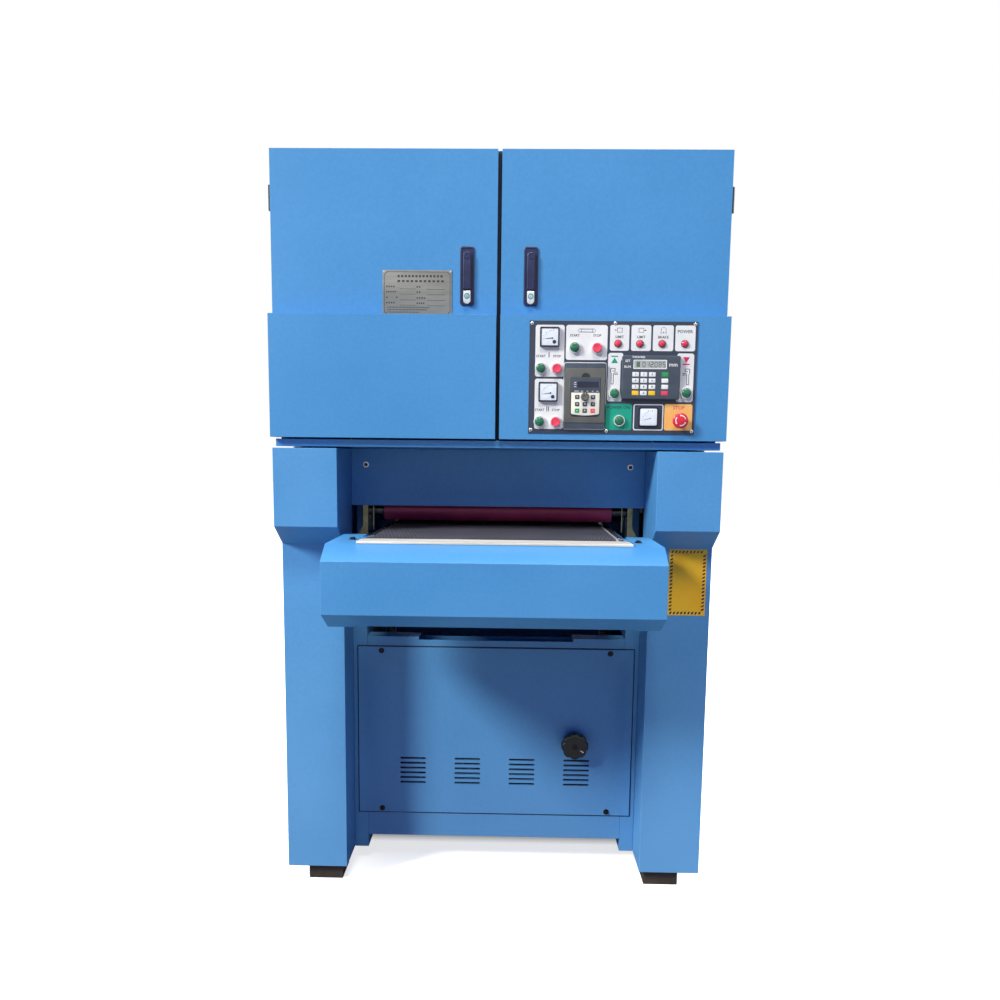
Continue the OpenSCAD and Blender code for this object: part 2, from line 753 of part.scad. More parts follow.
module door_body() {
    difference() {
        side_profile(door_outline(0, door_back_y), door_gap / 2, door_x);
        side_profile(door_outline(door_sheet, door_back_y + over), door_gap / 2 + door_sheet, door_x - door_sheet);
        latch_bores(upper_door_y - over, upper_door_y + door_sheet + over);
    }
    for (z = hinge_z) difference() {
        union() {
            rod_z(hinge_r, z + hinge_h / 2 + knuckle_gap / 2, z + hinge_h, hinge_x, hinge_y);
            block([door_x - door_sheet, door_back_y - over, z + hinge_h / 2 + knuckle_gap / 2],
                  [hinge_x, hinge_y, z + hinge_h]);
        }
        rod_z(hinge_pin_r + run_fit, z, z + hinge_h + over, hinge_x, hinge_y);
    }
}

module left_door() { color("dodgerblue") mirror([1, 0, 0]) door_body(); }

module right_door() {
    color("dodgerblue") difference() {
        door_body();
        stem_holes(door_y - over, door_y + door_sheet + over);
    }
}

module latch_housing() {
    difference() {
        round_plate(latch_x, latch_z, latch_w, latch_h, latch_corner, upper_door_y - seam, latch_t);
        latch_bores(upper_door_y - seam - latch_t - over, upper_door_y + over);
    }
}

module left_latch_housing() { color("midnightblue") mirror([1, 0, 0]) latch_housing(); }

module right_latch_housing() { color("midnightblue") latch_housing(); }

// The lever with its spindle through the door and the tongue behind it
module latch_lever() {
    front_y = upper_door_y - latch_t - 2 * seam;
    tongue_y = cabinet_y + cabinet_t + 2 * tongue_t;
    round_plate(latch_x, lever_z + lever_w / 2 - lever_l / 2, lever_w, lever_l, lever_w * 0.4, front_y, lever_t);
    rod_y(spindle_r, front_y - lever_t / 2, tongue_y, latch_x, lever_z);
    block([latch_x - tongue_l, tongue_y - tongue_t, lever_z - tongue_h / 2],
          [latch_x + tongue_h / 2, tongue_y, lever_z + tongue_h / 2]);
}

module left_latch_lever() { color("midnightblue") mirror([1, 0, 0]) latch_lever(); }

module right_latch_lever() { color("midnightblue") latch_lever(); }

module latch_button() {
    rod_y(latch_stem_r, upper_door_y - latch_t - 2 * seam - latch_travel - over, upper_door_y + latch_stem_l,
          latch_x, latch_button_z);
    round_plate(latch_x, latch_button_z, 2 * latch_button_r, latch_button_l,
                latch_button_r - seam, upper_door_y - latch_t - 2 * seam - latch_travel, latch_button_t);
}

module left_latch_button() { color("silver") mirror([1, 0, 0]) latch_button(); }

module right_latch_button() { color("silver") latch_button(); }

name_plate_x = -206;
name_plate_w = 175;
name_plate_h = 114;
name_plate_t = 1.5;

module name_plate() {
    color("silver") block([name_plate_x - name_plate_w / 2, upper_door_y - seam - name_plate_t, door_step_z + seam],
                          [name_plate_x + name_plate_w / 2, upper_door_y - seam, door_step_z + name_plate_h]);
}

// Controls

// Bores for the stems of all ten push buttons
module stem_holes(y0, y1) {
    for (s = concat(button_shares, [power_share, stop_share])) let (p = on_plate(s))
        rod_y(stem_r + seam, y0, y1, p.x, p.y);
}

module control_plate() {
    color("black") difference() {
        block([plate_x, plate_y - seam, plate_z - plate_h], [plate_x + plate_w, door_y - seam, plate_z]);
        stem_holes(plate_y - seam - over, door_y + over);
    }
}

plate_face_y = plate_y - seam;

module collar(share, r) {
    p = on_plate(share);
    difference() {
        rod_y(r + collar_w, plate_face_y - collar_t, plate_face_y - seam, p.x, p.y);
        rod_y(r + seam, plate_face_y - collar_t - over, plate_face_y + over, p.x, p.y);
    }
}

module panel_metalware() {
    color("silver") {
        for (s = concat(button_shares, [power_share])) collar(s, button_r);
        for (s = plate_screw_shares) let (p = on_plate(s))
            rod_y(screw_head_r, plate_face_y - screw_head_t, plate_face_y - seam, p.x, p.y);
    }
}

module push_button(share, r) {
    p = on_plate(share);
    rod_y(r, plate_face_y - cap_stand - cap_t, plate_face_y - cap_stand, p.x, p.y);
    rod_y(stem_r, plate_face_y - cap_stand - over, plate_face_y + stem_l, p.x, p.y);
}

module head_1_start() { color("green") push_button(button_shares[0], button_r); }

module head_1_stop() { color("red") push_button(button_shares[1], button_r); }

module head_2_start() { color("green") push_button(button_shares[2], button_r); }

module head_2_stop() { color("red") push_button(button_shares[3], button_r); }

module feed_start() { color("green") push_button(button_shares[4], button_r); }

module feed_stop() { color("red") push_button(button_shares[5], button_r); }

module table_up() { color("green") push_button(button_shares[6], button_r); }

module table_down() { color("green") push_button(button_shares[7], button_r); }

module power_button() { color("green") push_button(power_share, button_r); }

mushroom_stand = 16;
mushroom_t = 9;
mushroom_dome = 5;

// The mushroom head is a disc with a domed front on a neck
module emergency_stop() {
    p = on_plate(stop_share);
    color("red") translate([p.x, plate_face_y, p.y]) rotate([90, 0, 0]) {
        rotate_extrude() polygon([[0, -stem_l], [stem_r, -stem_l], [stem_r, mushroom_stand], [mushroom_r, mushroom_stand],
            [mushroom_r, mushroom_stand + mushroom_t - mushroom_dome],
            for (a = [15:15:90]) [mushroom_r * cos(a), mushroom_stand + mushroom_t - mushroom_dome + mushroom_dome * sin(a)]]);
    }
}

module panel_meters() {
    color("whitesmoke") for (s = meter_shares) let (p = on_plate(s))
        block([p.x - meter_w / 2, plate_face_y - meter_t, p.y - meter_w / 2],
              [p.x + meter_w / 2, plate_face_y - seam, p.y + meter_w / 2]);
}

module indicator_lamps() {
    color("red") for (s = lamp_shares) let (p = on_plate(s)) translate([p.x, plate_face_y - seam, p.y]) rotate([90, 0, 0])
        rotate_extrude() polygon([[0, 0], [lamp_r, 0], [lamp_r, lamp_h / 2],
            for (a = [15:15:90]) [lamp_r * cos(a), lamp_h / 2 + lamp_h / 2 * sin(a)]]);
}

module panel_box(shares, t) {
    a = on_plate(shares[0]);
    b = on_plate(shares[1]);
    block([a.x, plate_face_y - t, b.y], [b.x, plate_face_y - seam, a.y]);
}

module inverter_keypad() {
    p = on_plate(inverter_knob_share);
    color("dimgray") difference() {
        panel_box(inverter_shares, inverter_t);
        rod_y(hand_shaft_r / 2 + run_fit, plate_face_y - inverter_t - over, plate_face_y - inverter_t / 2, p.x, p.y);
    }
}

module inverter_knob() {
    p = on_plate(inverter_knob_share);
    color("black") {
        rod_y(inverter_knob_r, plate_face_y - inverter_t - inverter_knob_t, plate_face_y - inverter_t - seam, p.x, p.y);
        rod_y(hand_shaft_r / 2, plate_face_y - inverter_t - over, plate_face_y - inverter_t * 3 / 5, p.x, p.y);
    }
}

module thickness_readout() { color("dimgray") panel_box(readout_shares, readout_t); }

knob_lobes = 8;
knob_stand = 14;
knob_t = 26;
lobe_r = 9;

// Knob with round hollows between its lobes, on a shaft through the lower front panel
module hand_knob() {
    y = frame_y - seam - panel_t - seam;
    color("black") difference() {
        union() {
            rod_y(hand_knob_r, y - knob_stand - knob_t, y - knob_stand, hand_knob_x, hand_knob_z);
            rod_y(hand_knob_r / 2, y - knob_stand - over, y, hand_knob_x, hand_knob_z);
            rod_y(hand_shaft_r, y - over, frame_y + knob_t, hand_knob_x, hand_knob_z);
        }
        for (i = [0:knob_lobes - 1]) let (a = (i + 0.5) * 360 / knob_lobes, d = hand_knob_r + lobe_r / 2)
            rod_y(lobe_r, y - knob_stand - knob_t - over, y - knob_stand + over / 2,
                  hand_knob_x + d * cos(a), hand_knob_z + d * sin(a));
    }
}

// Conveyor table

arm_d = 30;
arm_h = 40;
shoe_h = 100;
tension_tab = [26, 34, 6];

module table_frame() {
    color("steelblue") {
        both_sides() {
            difference() {
                block([side_x, -feed_roller_y - feed_roller_r, side_low_z], [side_x + side_t, feed_roller_y + feed_roller_r, side_top_z]);
                for (i = [-1, 1]) rod_x(feed_shaft_r + run_fit, side_x - over, side_x + side_t + over, i * feed_roller_y, feed_axis_z);
            }
            for (i = [-1, 1]) let (y = i * (table_half_l - cover_len + arm_d / 2)) {
                block([side_x + side_t + seam, y - arm_d / 2, side_top_z - arm_h],
                      [table_w / 2 - cover_t - seam, y + arm_d / 2, side_top_z]);
            }
            for (y = upper_post_y)
                block([side_x + side_t + seam, y, side_low_z], [post_x - 2 * seam, y + post_d, side_low_z + shoe_h]);
            difference() {
                block([side_x + side_t + seam, screw_y - nut_w / 2, side_low_z],
                      [screw_x + nut_w / 2, screw_y + nut_w / 2, side_top_z]);
                rod_z(screw_r + run_fit, side_low_z - over, side_top_z + over, screw_x, screw_y);
            }
        }
        block([-side_x + seam, -feed_roller_y + feed_roller_r + belt_gap, bed_low_z],
              [side_x - seam, feed_roller_y - feed_roller_r - belt_gap, bed_low_z + bed_t]);
        for (y = [frame_y + post_d, frame_back_y - 2 * post_d])
            tube([-side_x + seam, y, belt_low_z + feed_belt_t + belt_gap], [side_x - seam, y + post_d, bed_low_z - seam], 0);
    }
}

// Heights of the belt's lower run and of the bed's underside
belt_low_z = feed_axis_z - feed_roller_r - feed_belt_t;
bed_low_z = belt_top_z - feed_belt_t - bed_t - seam;

module conveyor_belt() {
    color("dimgray") belt_loop([-feed_roller_y, feed_axis_z], feed_roller_r, [feed_roller_y, feed_axis_z], feed_roller_r,
                               feed_belt_t, -feed_belt_w / 2, feed_belt_w / 2);
}

module feed_roller(y) {
    color("silver") roller(feed_roller_r - seam, 2 * (side_x - side_t), feed_shaft_r, -side_x - side_t - seam, side_x + side_t + seam,
                           y, feed_axis_z);
}

module front_feed_roller() { feed_roller(-feed_roller_y); }

module rear_feed_roller() { feed_roller(feed_roller_y); }

// Side outline of the table's front cover, drawn in by t
function cover_outline(t, back) = [
    [table_front_y + chamfer_top.x + t / 2, table_top_z - t], [table_front_y + t, table_top_z - chamfer_top.y - t / 2],
    [table_front_y + t, table_low_z + chamfer_low.y + t / 2], [table_front_y + chamfer_low.x + t / 2, table_low_z + t],
    [back, table_low_z + t], [back, table_top_z - t]];

belt_slot_gap = 4;
belt_slot_x = side_x + side_t + belt_slot_gap;
belt_slot_y = table_front_y + chamfer_top.x + entry_d;

module table_cover() {
    back = table_front_y + cover_len;
    difference() {
        side_profile(cover_outline(0, back), -table_w / 2, table_w / 2);
        side_profile(cover_outline(cover_t, back + over), -table_w / 2 + cover_t, table_w / 2 - cover_t);
        block([-belt_slot_x, belt_slot_y, table_top_z - cover_t - over], [belt_slot_x, back + over, table_top_z + over]);
        block([-belt_slot_x, belt_slot_y - entry_d, table_low_z - over], [belt_slot_x, back + over, table_low_z + cover_t + over]);
    }
}

module table_covers() {
    color("deepskyblue") {
        table_cover();
        mirror([0, 1, 0]) table_cover();
    }
}

bolt_r = 6;
bolt_h = 8;
bolt_inset = 48;
bolt_x = table_w / 2 - bolt_inset;
bolt_setback = 158;

module table_trim() {
    color("silver") for (m = [0, 1]) mirror([0, m, 0]) {
        round_entry();
        both_sides() {
            rod_z(washer_r + washer_t, table_top_z + seam, table_top_z + 2 * washer_t, bolt_x, table_front_y + bolt_setback);
            rod_z(bolt_r, table_top_z + washer_t, table_top_z + washer_t + bolt_h * 3 / 5, bolt_x, table_front_y + bolt_setback);
            translate([side_x, -feed_roller_y + feed_roller_r - tension_tab.y, side_top_z + seam]) cube([side_t, tension_tab.y, tension_tab.z]);
            rod_y(bolt_r / 2, -feed_roller_y + feed_roller_r - 2 * tension_tab.y, -feed_roller_y + feed_roller_r - tension_tab.y / 2,
                  side_x + side_t / 2, side_top_z + seam + tension_tab.z / 2);
        }
    }
}

// Stainless entry plate along the cover's front edge, level with the belt
module round_entry() {
    r = entry_d / 4;
    y0 = table_front_y + chamfer_top.x;
    translate([0, 0, table_top_z + seam]) linear_extrude(entry_t - seam) {
        translate([-entry_w / 2, y0]) square([entry_w, entry_d - r]);
        translate([-entry_w / 2 + r, y0]) square([entry_w - 2 * r, entry_d]);
        for (i = [-1, 1]) translate([i * (entry_w / 2 - r), y0 + entry_d - r]) circle(r);
    }
}

gearmotor_r = 42;
gearmotor_l = 300;
carrier_t = 8;
carrier_d = 100;

module feed_gearmotor() {
    top_z = belt_low_z - belt_gap;
    y = feed_roller_y - gearmotor_r / 2;
    color("slategray") {
        block([-side_x + seam, y - carrier_d / 2, top_z - carrier_t], [side_x - seam, y + carrier_d / 2, top_z]);
        rod_x(gearmotor_r, -gearmotor_l / 2, gearmotor_l / 2, y, top_z - carrier_t - gearmotor_r + over);
        block([gearmotor_l / 2 - over, y - gearmotor_r, top_z - carrier_t - 2 * gearmotor_r],
              [gearmotor_l / 2 + gearmotor_r * 2, y + gearmotor_r, top_z - carrier_t + over]);
    }
}

base_frame();
feet();
left_column_cover();
right_column_cover();
side_panels();
lower_front_panel();
rear_covers();
front_guard();
cabinet_shell();
door_hinges();
head_frame();
roller_brackets();
head_motors();
abrasive_belts();
lift_drive();
electrical_gear();
frame_screws();
dust_outlets();
left_door();
left_latch_housing();
name_plate();
left_latch_lever();
left_latch_button();
right_door();
right_latch_housing();
right_latch_lever();
right_latch_button();
control_plate();
panel_metalware();
panel_meters();
indicator_lamps();
inverter_keypad();
thickness_readout();
head_1_start();
head_1_stop();
head_2_start();
head_2_stop();
feed_start();
feed_stop();
table_up();
table_down();
power_button();
emergency_stop();
inverter_knob();
hand_knob();
table_frame();
conveyor_belt();
table_covers();
table_trim();
feed_gearmotor();
front_feed_roller();
rear_feed_roller();
front_press_roller();
rear_press_roller();
contact_roller_1();
contact_roller_2();
tension_roller_1();
tension_roller_2();
left_lift_screw();
right_lift_screw();
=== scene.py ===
import math
import bmesh
import bpy
from mathutils import Matrix, Vector


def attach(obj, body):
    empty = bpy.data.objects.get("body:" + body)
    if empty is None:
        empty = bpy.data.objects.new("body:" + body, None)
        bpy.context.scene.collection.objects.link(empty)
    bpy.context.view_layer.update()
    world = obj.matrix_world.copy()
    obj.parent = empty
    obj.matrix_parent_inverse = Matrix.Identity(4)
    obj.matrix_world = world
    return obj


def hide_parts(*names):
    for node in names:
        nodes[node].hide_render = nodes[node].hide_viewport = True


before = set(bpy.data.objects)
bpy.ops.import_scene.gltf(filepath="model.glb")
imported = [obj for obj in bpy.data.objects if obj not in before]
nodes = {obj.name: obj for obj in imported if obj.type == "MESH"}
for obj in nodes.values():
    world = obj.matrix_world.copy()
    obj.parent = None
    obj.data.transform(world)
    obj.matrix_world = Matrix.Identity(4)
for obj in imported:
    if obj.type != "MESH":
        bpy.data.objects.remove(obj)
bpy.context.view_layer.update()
mm = 0.001  # every length below is in millimetres


# camera at the photo's viewing angle, from a fit on the machine's corners; place and sensor in mm,
# lens as a share of the sensor's width
view = {"yaw": -1.14, "pitch": 7.56, "roll": 0.61, "place": (35.1, -2792.6, 1197.0), "lens": 0.8956,
        "sensor": 36, "shift": (0.00851, 0.0695), "far": 100}


def makeCamera():
    yaw, pitch, roll = (math.radians(view[key]) for key in ("yaw", "pitch", "roll"))
    ahead = Vector((math.sin(yaw) * math.cos(pitch), math.cos(yaw) * math.cos(pitch), -math.sin(pitch)))
    right = Vector((math.cos(yaw), -math.sin(yaw), 0))
    up = right.cross(ahead)
    side = right * math.cos(roll) + up * math.sin(roll)
    top = up * math.cos(roll) - right * math.sin(roll)
    data = bpy.data.cameras.new("viewCamera")
    data.sensor_width, data.lens = view["sensor"], view["lens"] * view["sensor"]
    data.shift_x, data.shift_y = view["shift"]
    data.clip_end = view["far"]
    camera = bpy.data.objects.new("viewCamera", data)
    bpy.context.scene.collection.objects.link(camera)
    rows = [(side[i], top[i], -ahead[i], view["place"][i] * mm) for i in range(3)]
    camera.matrix_world = Matrix(rows + [(0, 0, 0, 1)])
    bpy.context.scene.camera = camera


makeCamera()
print("camera set")


# sRGB hex to the linear colour that shaders take
def linear(code):
    parts = [int(code[i:i + 2], 16) / 255 for i in (1, 3, 5)]
    return tuple(p / 12.92 if p <= 0.04045 else ((p + 0.055) / 1.055) ** 2.4 for p in parts) + (1.0,)


# one shader node; a key is an input's name or number, or a property, and a value may be another node's output
def addNode(tree, kind, settings=None):
    made = tree.nodes.new("ShaderNode" + kind)
    for key, value in (settings or {}).items():
        if isinstance(value, bpy.types.NodeSocket):
            tree.links.new(value, made.inputs[key])
        elif isinstance(key, int) or key in made.inputs:
            made.inputs[key].default_value = value
        else:
            setattr(made, key, value)
    return made


# a sum of values, each a number or an output
def compute(tree, operation, *values):
    return addNode(tree, "Math", {"operation": operation, **dict(enumerate(values))}).outputs[0]


# a value spread over a new range
def span(tree, value, low, high, fromLow=0.0, fromHigh=1.0):
    ends = {"From Min": fromLow, "From Max": fromHigh, "To Min": low, "To Max": high}
    return addNode(tree, "MapRange", {**ends, "Value": value}).outputs[0]


# a mix of two colours, each a hex code or an output
def mix(tree, share, first, second, how="MIX"):
    first, second = (linear(c) if isinstance(c, str) else c for c in (first, second))
    return addNode(tree, "Mix", {"data_type": "RGBA", "blend_type": how, 0: share, 6: first,
                                 7: second}).outputs[2]


# noise whose patches have the given size in mm
def noise(tree, place, size, detail):
    return addNode(tree, "TexNoise", {"Scale": 1 / (size * mm), "Detail": detail,
                                      "Vector": place}).outputs[0]


def bump(tree, height, depth, strength=1.0):
    return addNode(tree, "Bump", {"Strength": strength, "Distance": depth * mm,
                                  "Height": height}).outputs[0]


def objectPlace(tree):
    return addNode(tree, "TexCoord").outputs["Object"]


def parted(tree, place):
    return addNode(tree, "SeparateXYZ", {0: place}).outputs


# sets a shader's own sockets, or links outputs to them
def feed(tree, shader, sources):
    for key, source in sources.items():
        if isinstance(source, bpy.types.NodeSocket):
            tree.links.new(source, shader.inputs[key])
        else:
            shader.inputs[key].default_value = source


def startMaterial(name):
    material = bpy.data.materials.new(name)
    material.use_nodes = True
    tree = material.node_tree
    tree.nodes.clear()
    shader = addNode(tree, "BsdfPrincipled")
    addNode(tree, "OutputMaterial", {"Surface": shader.outputs[0]})
    return material, tree, shader


# a finish: two tones in patches of drift mm, speckled by grain mm, uneven gloss, and a relief in mm
# stretch pulls the pattern along an axis, as rolling or brushing does
# the colour and share given for painted light make a coat lighter towards the floor, with that share at floor
# level
def surface(name, low, high, drift, grain, speck, rough, relief=0, stretch=None, paintedLight=None, metal=0.0,
            clear=None, shine=None, glow=None):
    material, tree, shader = startMaterial(name)
    feed(tree, shader, {"Metallic": metal})
    if clear:
        feed(tree, shader, {"Coat Weight": clear[0], "Coat Roughness": clear[1]})
    if shine is not None:
        feed(tree, shader, {"Specular IOR Level": shine})
    if glow:
        feed(tree, shader, {"Subsurface Weight": glow})
    place = objectPlace(tree)
    if stretch:
        place = addNode(tree, "Mapping", {"Scale": stretch, "Vector": place}).outputs[0]
    broad, fine = noise(tree, place, drift, 3.0), noise(tree, place, grain, 2.0)
    base = mix(tree, span(tree, broad, 0.0, 1.0, 0.3, 0.7), low, high)
    shade = mix(tree, 1.0, base, span(tree, fine, 1 - speck, 1 + speck, 0.35, 0.65), "MULTIPLY")
    if paintedLight:  # painted light: lighter towards the floor, in patches, up to a height of 0.95 m
        colour, share = paintedLight
        lighterTowardsFloor = span(tree, parted(tree, objectPlace(tree))[2], share, 0.0, 0.0, 0.95)
        patchy = compute(tree, "MULTIPLY_ADD", broad, 0.25, 0.87)
        shade = mix(tree, compute(tree, "MULTIPLY", lighterTowardsFloor, patchy), shade, colour)
    feed(tree, shader, {"Base Color": shade, "Roughness": span(tree, broad, *rough)})
    if relief:
        feed(tree, shader, {"Normal": bump(tree, fine, relief)})
    return material


# orange peel of a powder coat is about 2.5 mm; it is drawn at 7 mm, since one pixel of the picture
# covers about 2.4 mm
# baked satin coat: soft wide highlight, a faint mottle
coat = surface("powderCoatedSteel", "#468ECA", "#5197D3", drift=420, grain=7, speck=0.03,
               rough=(0.36, 0.46), relief=0.09, clear=(0.12, 0.3))
# same coat drawn a little darker on the doors: painted shade
shadedDoorCoat = surface("powderCoatedDoorSteelShaded", "#4289C4", "#4B91CC", drift=420, grain=7, speck=0.03,
                   rough=(0.36, 0.46), relief=0.09, clear=(0.12, 0.3))
# same coat drawn a little darker on the roof, as painted shade against the strong light that falls on it;
# dull, no sharp shine
shadedRoofCoat = surface("powderCoatedRoofSteelShaded", "#4584BC", "#5593C9", drift=300, grain=7, speck=0.05,
                   rough=(0.65, 0.8), relief=0.05, shine=0.25)
# same coat on the frame, with painted light that makes it lighter lower down
frameCoat = surface("powderCoatedFrameSteel", "#4A8FC8", "#5699D2", drift=360, grain=7, speck=0.035,
                    rough=(0.4, 0.52), relief=0.1, paintedLight=("#6FA9DF", 0.45), clear=(0.08, 0.35))
# thin brushed paint over rough plate, scuffed
footSteel = surface("paintedFootSteel", "#2F2624", "#473A36", drift=40, grain=4, speck=0.12,
                    rough=(0.55, 0.8), relief=0.3)
# sprayed enamel on a cast shell: slight casting grain
motorPaint = surface("enamelledCastIron", "#4A525B", "#5C656F", drift=90, grain=3, speck=0.06,
                     rough=(0.45, 0.6), relief=0.25)
# milled and oiled: mid grey, half gloss
gearSteel = surface("machinedGearboxSteel", "#6E7173", "#84878A", drift=60, grain=3, speck=0.06,
                    rough=(0.35, 0.5), relief=0.05, metal=0.8)
# turned on a lathe: tight rings round the axis
rollerSteel = surface("turnedRollerSteel", "#A9ACAE", "#C4C7C9", drift=120, grain=5, speck=0.05,
                      rough=(0.2, 0.34), relief=0.02, stretch=(6, 1, 1), metal=1.0)
# ground rubber face: dull with a fine nap
contactRubber = surface("mouldedContactRubber", "#26282A", "#34373A", drift=90, grain=3, speck=0.1,
                        rough=(0.7, 0.85), relief=0.1)
# dark red rubber sleeve: satin, in slightly lighter and darker patches
pressRubber = surface("mouldedPressRubber", "#95274C", "#B5345C", drift=120, grain=4, speck=0.06,
                      rough=(0.38, 0.55), relief=0.06)
# zinc plating with a khaki rainbow drift
yellowZinc = surface("yellowPassivatedZincSteel", "#77714F", "#A59E7B", drift=28, grain=3, speck=0.07,
                     rough=(0.28, 0.45), relief=0.05, metal=0.85)
# matt light grey housing plastic
devicePlastic = surface("mouldedDevicePlastic", "#C9CBCB", "#D9DBDA", drift=60, grain=2.5, speck=0.02,
                        rough=(0.5, 0.62), relief=0.05)
# zinc spangle on a back plate
galvanised = surface("galvanisedMountingPlate", "#8F9496", "#B2B7B9", drift=22, grain=6, speck=0.06,
                     rough=(0.35, 0.5), relief=0.03, metal=0.9)
# oiled black finish of socket screws
blackOxide = surface("blackOxideScrewSteel", "#15161A", "#24252B", drift=9, grain=2, speck=0.1,
                     rough=(0.3, 0.45), relief=0.03, metal=0.6)
# long brushing marks across the entry, handled dull; the tone is drawn near white and only partly metal, as
# painted reflection of the light above
stainless = surface("brushedStainlessPlate", "#C3B9AC", "#F4EFE8", drift=60, grain=3, speck=0.07,
                    rough=(0.38, 0.55), relief=0.03, stretch=(0.12, 1.6, 1), metal=0.35)
# bright plating of washers, rivets and lock plugs: small crisp highlights
zincSteel = surface("brightZincSteel", "#BFC2C6", "#DADCDE", drift=12, grain=2, speck=0.05,
                    rough=(0.22, 0.36), relief=0.02, metal=0.95)
# turned shaft under a film of oil and dust: dark, with a thin bright line
oiledSteel = surface("oiledShaftSteel", "#3A3C40", "#5A5D61", drift=40, grain=3, speck=0.08,
                     rough=(0.28, 0.42), relief=0.02, stretch=(5, 1, 1), metal=0.9)
# oil-blackened steel: dark, half gloss
hingeSteel = surface("blackenedHingeSteel", "#1D2029", "#2C303B", drift=14, grain=2, speck=0.08,
                     rough=(0.3, 0.45), relief=0.04, metal=0.5)
# dark navy dip coat on a zinc casting: smooth, half gloss
latchCoat = surface("eCoatedLatchZinc", "#121A42", "#1D2853", drift=30, grain=2.5, speck=0.05,
                    rough=(0.28, 0.42), relief=0.03)
# satin nickel on the push tab
latchMetal = surface("satinNickelTab", "#D2D3D3", "#EDEDEA", drift=10, grain=2, speck=0.05,
                     rough=(0.24, 0.36), relief=0.02, stretch=(3, 1, 0.4), metal=0.55)
# teal anodised collar of the key lock
keyRing = surface("anodisedKeyRing", "#1F8CA8", "#35A5C0", drift=6, grain=1.5, speck=0.04,
                  rough=(0.25, 0.35), metal=0.5)
# mirror plating of the power ring and the dome screws
chrome = surface("polishedChrome", "#D6D8DA", "#E9EAEB", drift=14, grain=2, speck=0.02, rough=(0.1, 0.18),
                 metal=0.8)
# light grey moulded ring round the push buttons
paleRing = surface("mouldedGreyBezel", "#CFD3D4", "#DEE2E2", drift=14, grain=2, speck=0.02,
                   rough=(0.3, 0.4))
# blue-black silk-screened sheet, satin
printBlack = surface("screenPrintedBlackPlate", "#2B3346", "#343D50", drift=130, grain=3, speck=0.04,
                     rough=(0.4, 0.5), relief=0.02)
# milky print, slightly grey with handling
printWhite = surface("screenPrintedWhiteField", "#E3E4E7", "#F1F1F2", drift=60, grain=3, speck=0.012,
                     rough=(0.38, 0.5))
# near-black print on the white fields, satin
printInk = surface("screenPrintedInk", "#1B1D26", "#2A2C37", drift=20, grain=2, speck=0.03,
                   rough=(0.4, 0.5))
# strong teal print, satin, an even tone
printTeal = surface("screenPrintedTealField", "#0A937B", "#12A087", drift=40, grain=3, speck=0.02,
                    rough=(0.38, 0.48))
# crimson print, an even tone
printRed = surface("screenPrintedRed", "#CE2450", "#D9305A", drift=20, grain=2, speck=0.02,
                   rough=(0.38, 0.48))
# pale orange print under the stop button
printOrange = surface("screenPrintedOrangeField", "#F0B264", "#F7C074", drift=40, grain=3, speck=0.02,
                      rough=(0.38, 0.48))
# warm yellow print on two of the keys
printYellow = surface("screenPrintedYellow", "#F0BE18", "#F7CB30", drift=20, grain=2, speck=0.02,
                      rough=(0.4, 0.5))
# near-black navy moulding, fairly glossy
meterBezel = surface("mouldedMeterBezel", "#151A30", "#202640", drift=20, grain=2, speck=0.03,
                     rough=(0.2, 0.3))
# pale blue-white card behind a clear window: glossy
meterFace = surface("printedMeterDial", "#DDE6F4", "#EEF3FA", drift=18, grain=2, speck=0.012,
                    rough=(0.12, 0.2), clear=(0.6, 0.06))
# clear red lens: glossy, with a little light scattered inside it
lampRed = surface("mouldedLampLens", "#D9123F", "#EC2A55", drift=8, grain=2, speck=0.03, rough=(0.08, 0.14),
                  clear=(0.7, 0.05), glow=0.1)
# glossy bottle-green plastic, domed
capGreen = surface("mouldedGreenCap", "#00563C", "#007A54", drift=8, grain=2, speck=0.03, rough=(0.12, 0.2),
                   clear=(0.6, 0.08))
# flat pinkish-red plastic, matt
capRed = surface("mouldedRedCap", "#EA3B5B", "#F54D69", drift=8, grain=2, speck=0.015, rough=(0.4, 0.5))
# black nylon plunger behind a cap, dull
stemBlack = surface("mouldedStemNylon", "#1A1B1E", "#26272B", drift=12, grain=2, speck=0.04,
                    rough=(0.5, 0.62))
# signal-red mushroom plastic
stopRed = surface("mouldedStopRed", "#CF1F33", "#DD3145", drift=12, grain=2, speck=0.02, rough=(0.26, 0.36))
# warm grey textured plastic of the drive
deviceGrey = surface("mouldedGreyHousing", "#545553", "#60615F", drift=40, grain=2.2, speck=0.03,
                     rough=(0.5, 0.62), relief=0.06)
# blue-grey slate plastic of display fronts
deviceDark = surface("mouldedSlateHousing", "#38414F", "#434D5C", drift=40, grain=2.2, speck=0.02,
                     rough=(0.42, 0.55), relief=0.03)
# warm white moulding, matt, slightly yellowed
keypadCream = surface("mouldedCreamKeypad", "#E6E2D2", "#F0EDE0", drift=18, grain=2, speck=0.012,
                      rough=(0.45, 0.55))
# slate silicone key, dull
keyDark = surface("siliconeDarkKey", "#33384A", "#3F4557", drift=8, grain=1.5, speck=0.02, rough=(0.5, 0.6))
# green silicone key, dull
keyGreen = surface("siliconeGreenKey", "#1D8A4A", "#279A57", drift=8, grain=1.5, speck=0.02,
                   rough=(0.5, 0.6))
# rose-red silicone key, dull
keyRed = surface("siliconeRedKey", "#D93A52", "#E54C62", drift=8, grain=1.5, speck=0.02, rough=(0.5, 0.6))
# grey display behind a clear window: flat tone, glossy
lcdGlass = surface("lcdBacklitPanel", "#A6ABA9", "#B7BCBA", drift=20, grain=2, speck=0.015,
                   rough=(0.15, 0.22))
# faded green-grey figure of the display
lcdMark = surface("lcdGreySegment", "#51695C", "#5C7566", drift=20, grain=2, speck=0.015,
                  rough=(0.15, 0.22))
# pressed phenolic: deep black with a soft shine
knobBlack = surface("mouldedPhenolicKnob", "#0E0F12", "#1C1D21", drift=18, grain=3, speck=0.08,
                    rough=(0.28, 0.42), relief=0.05)
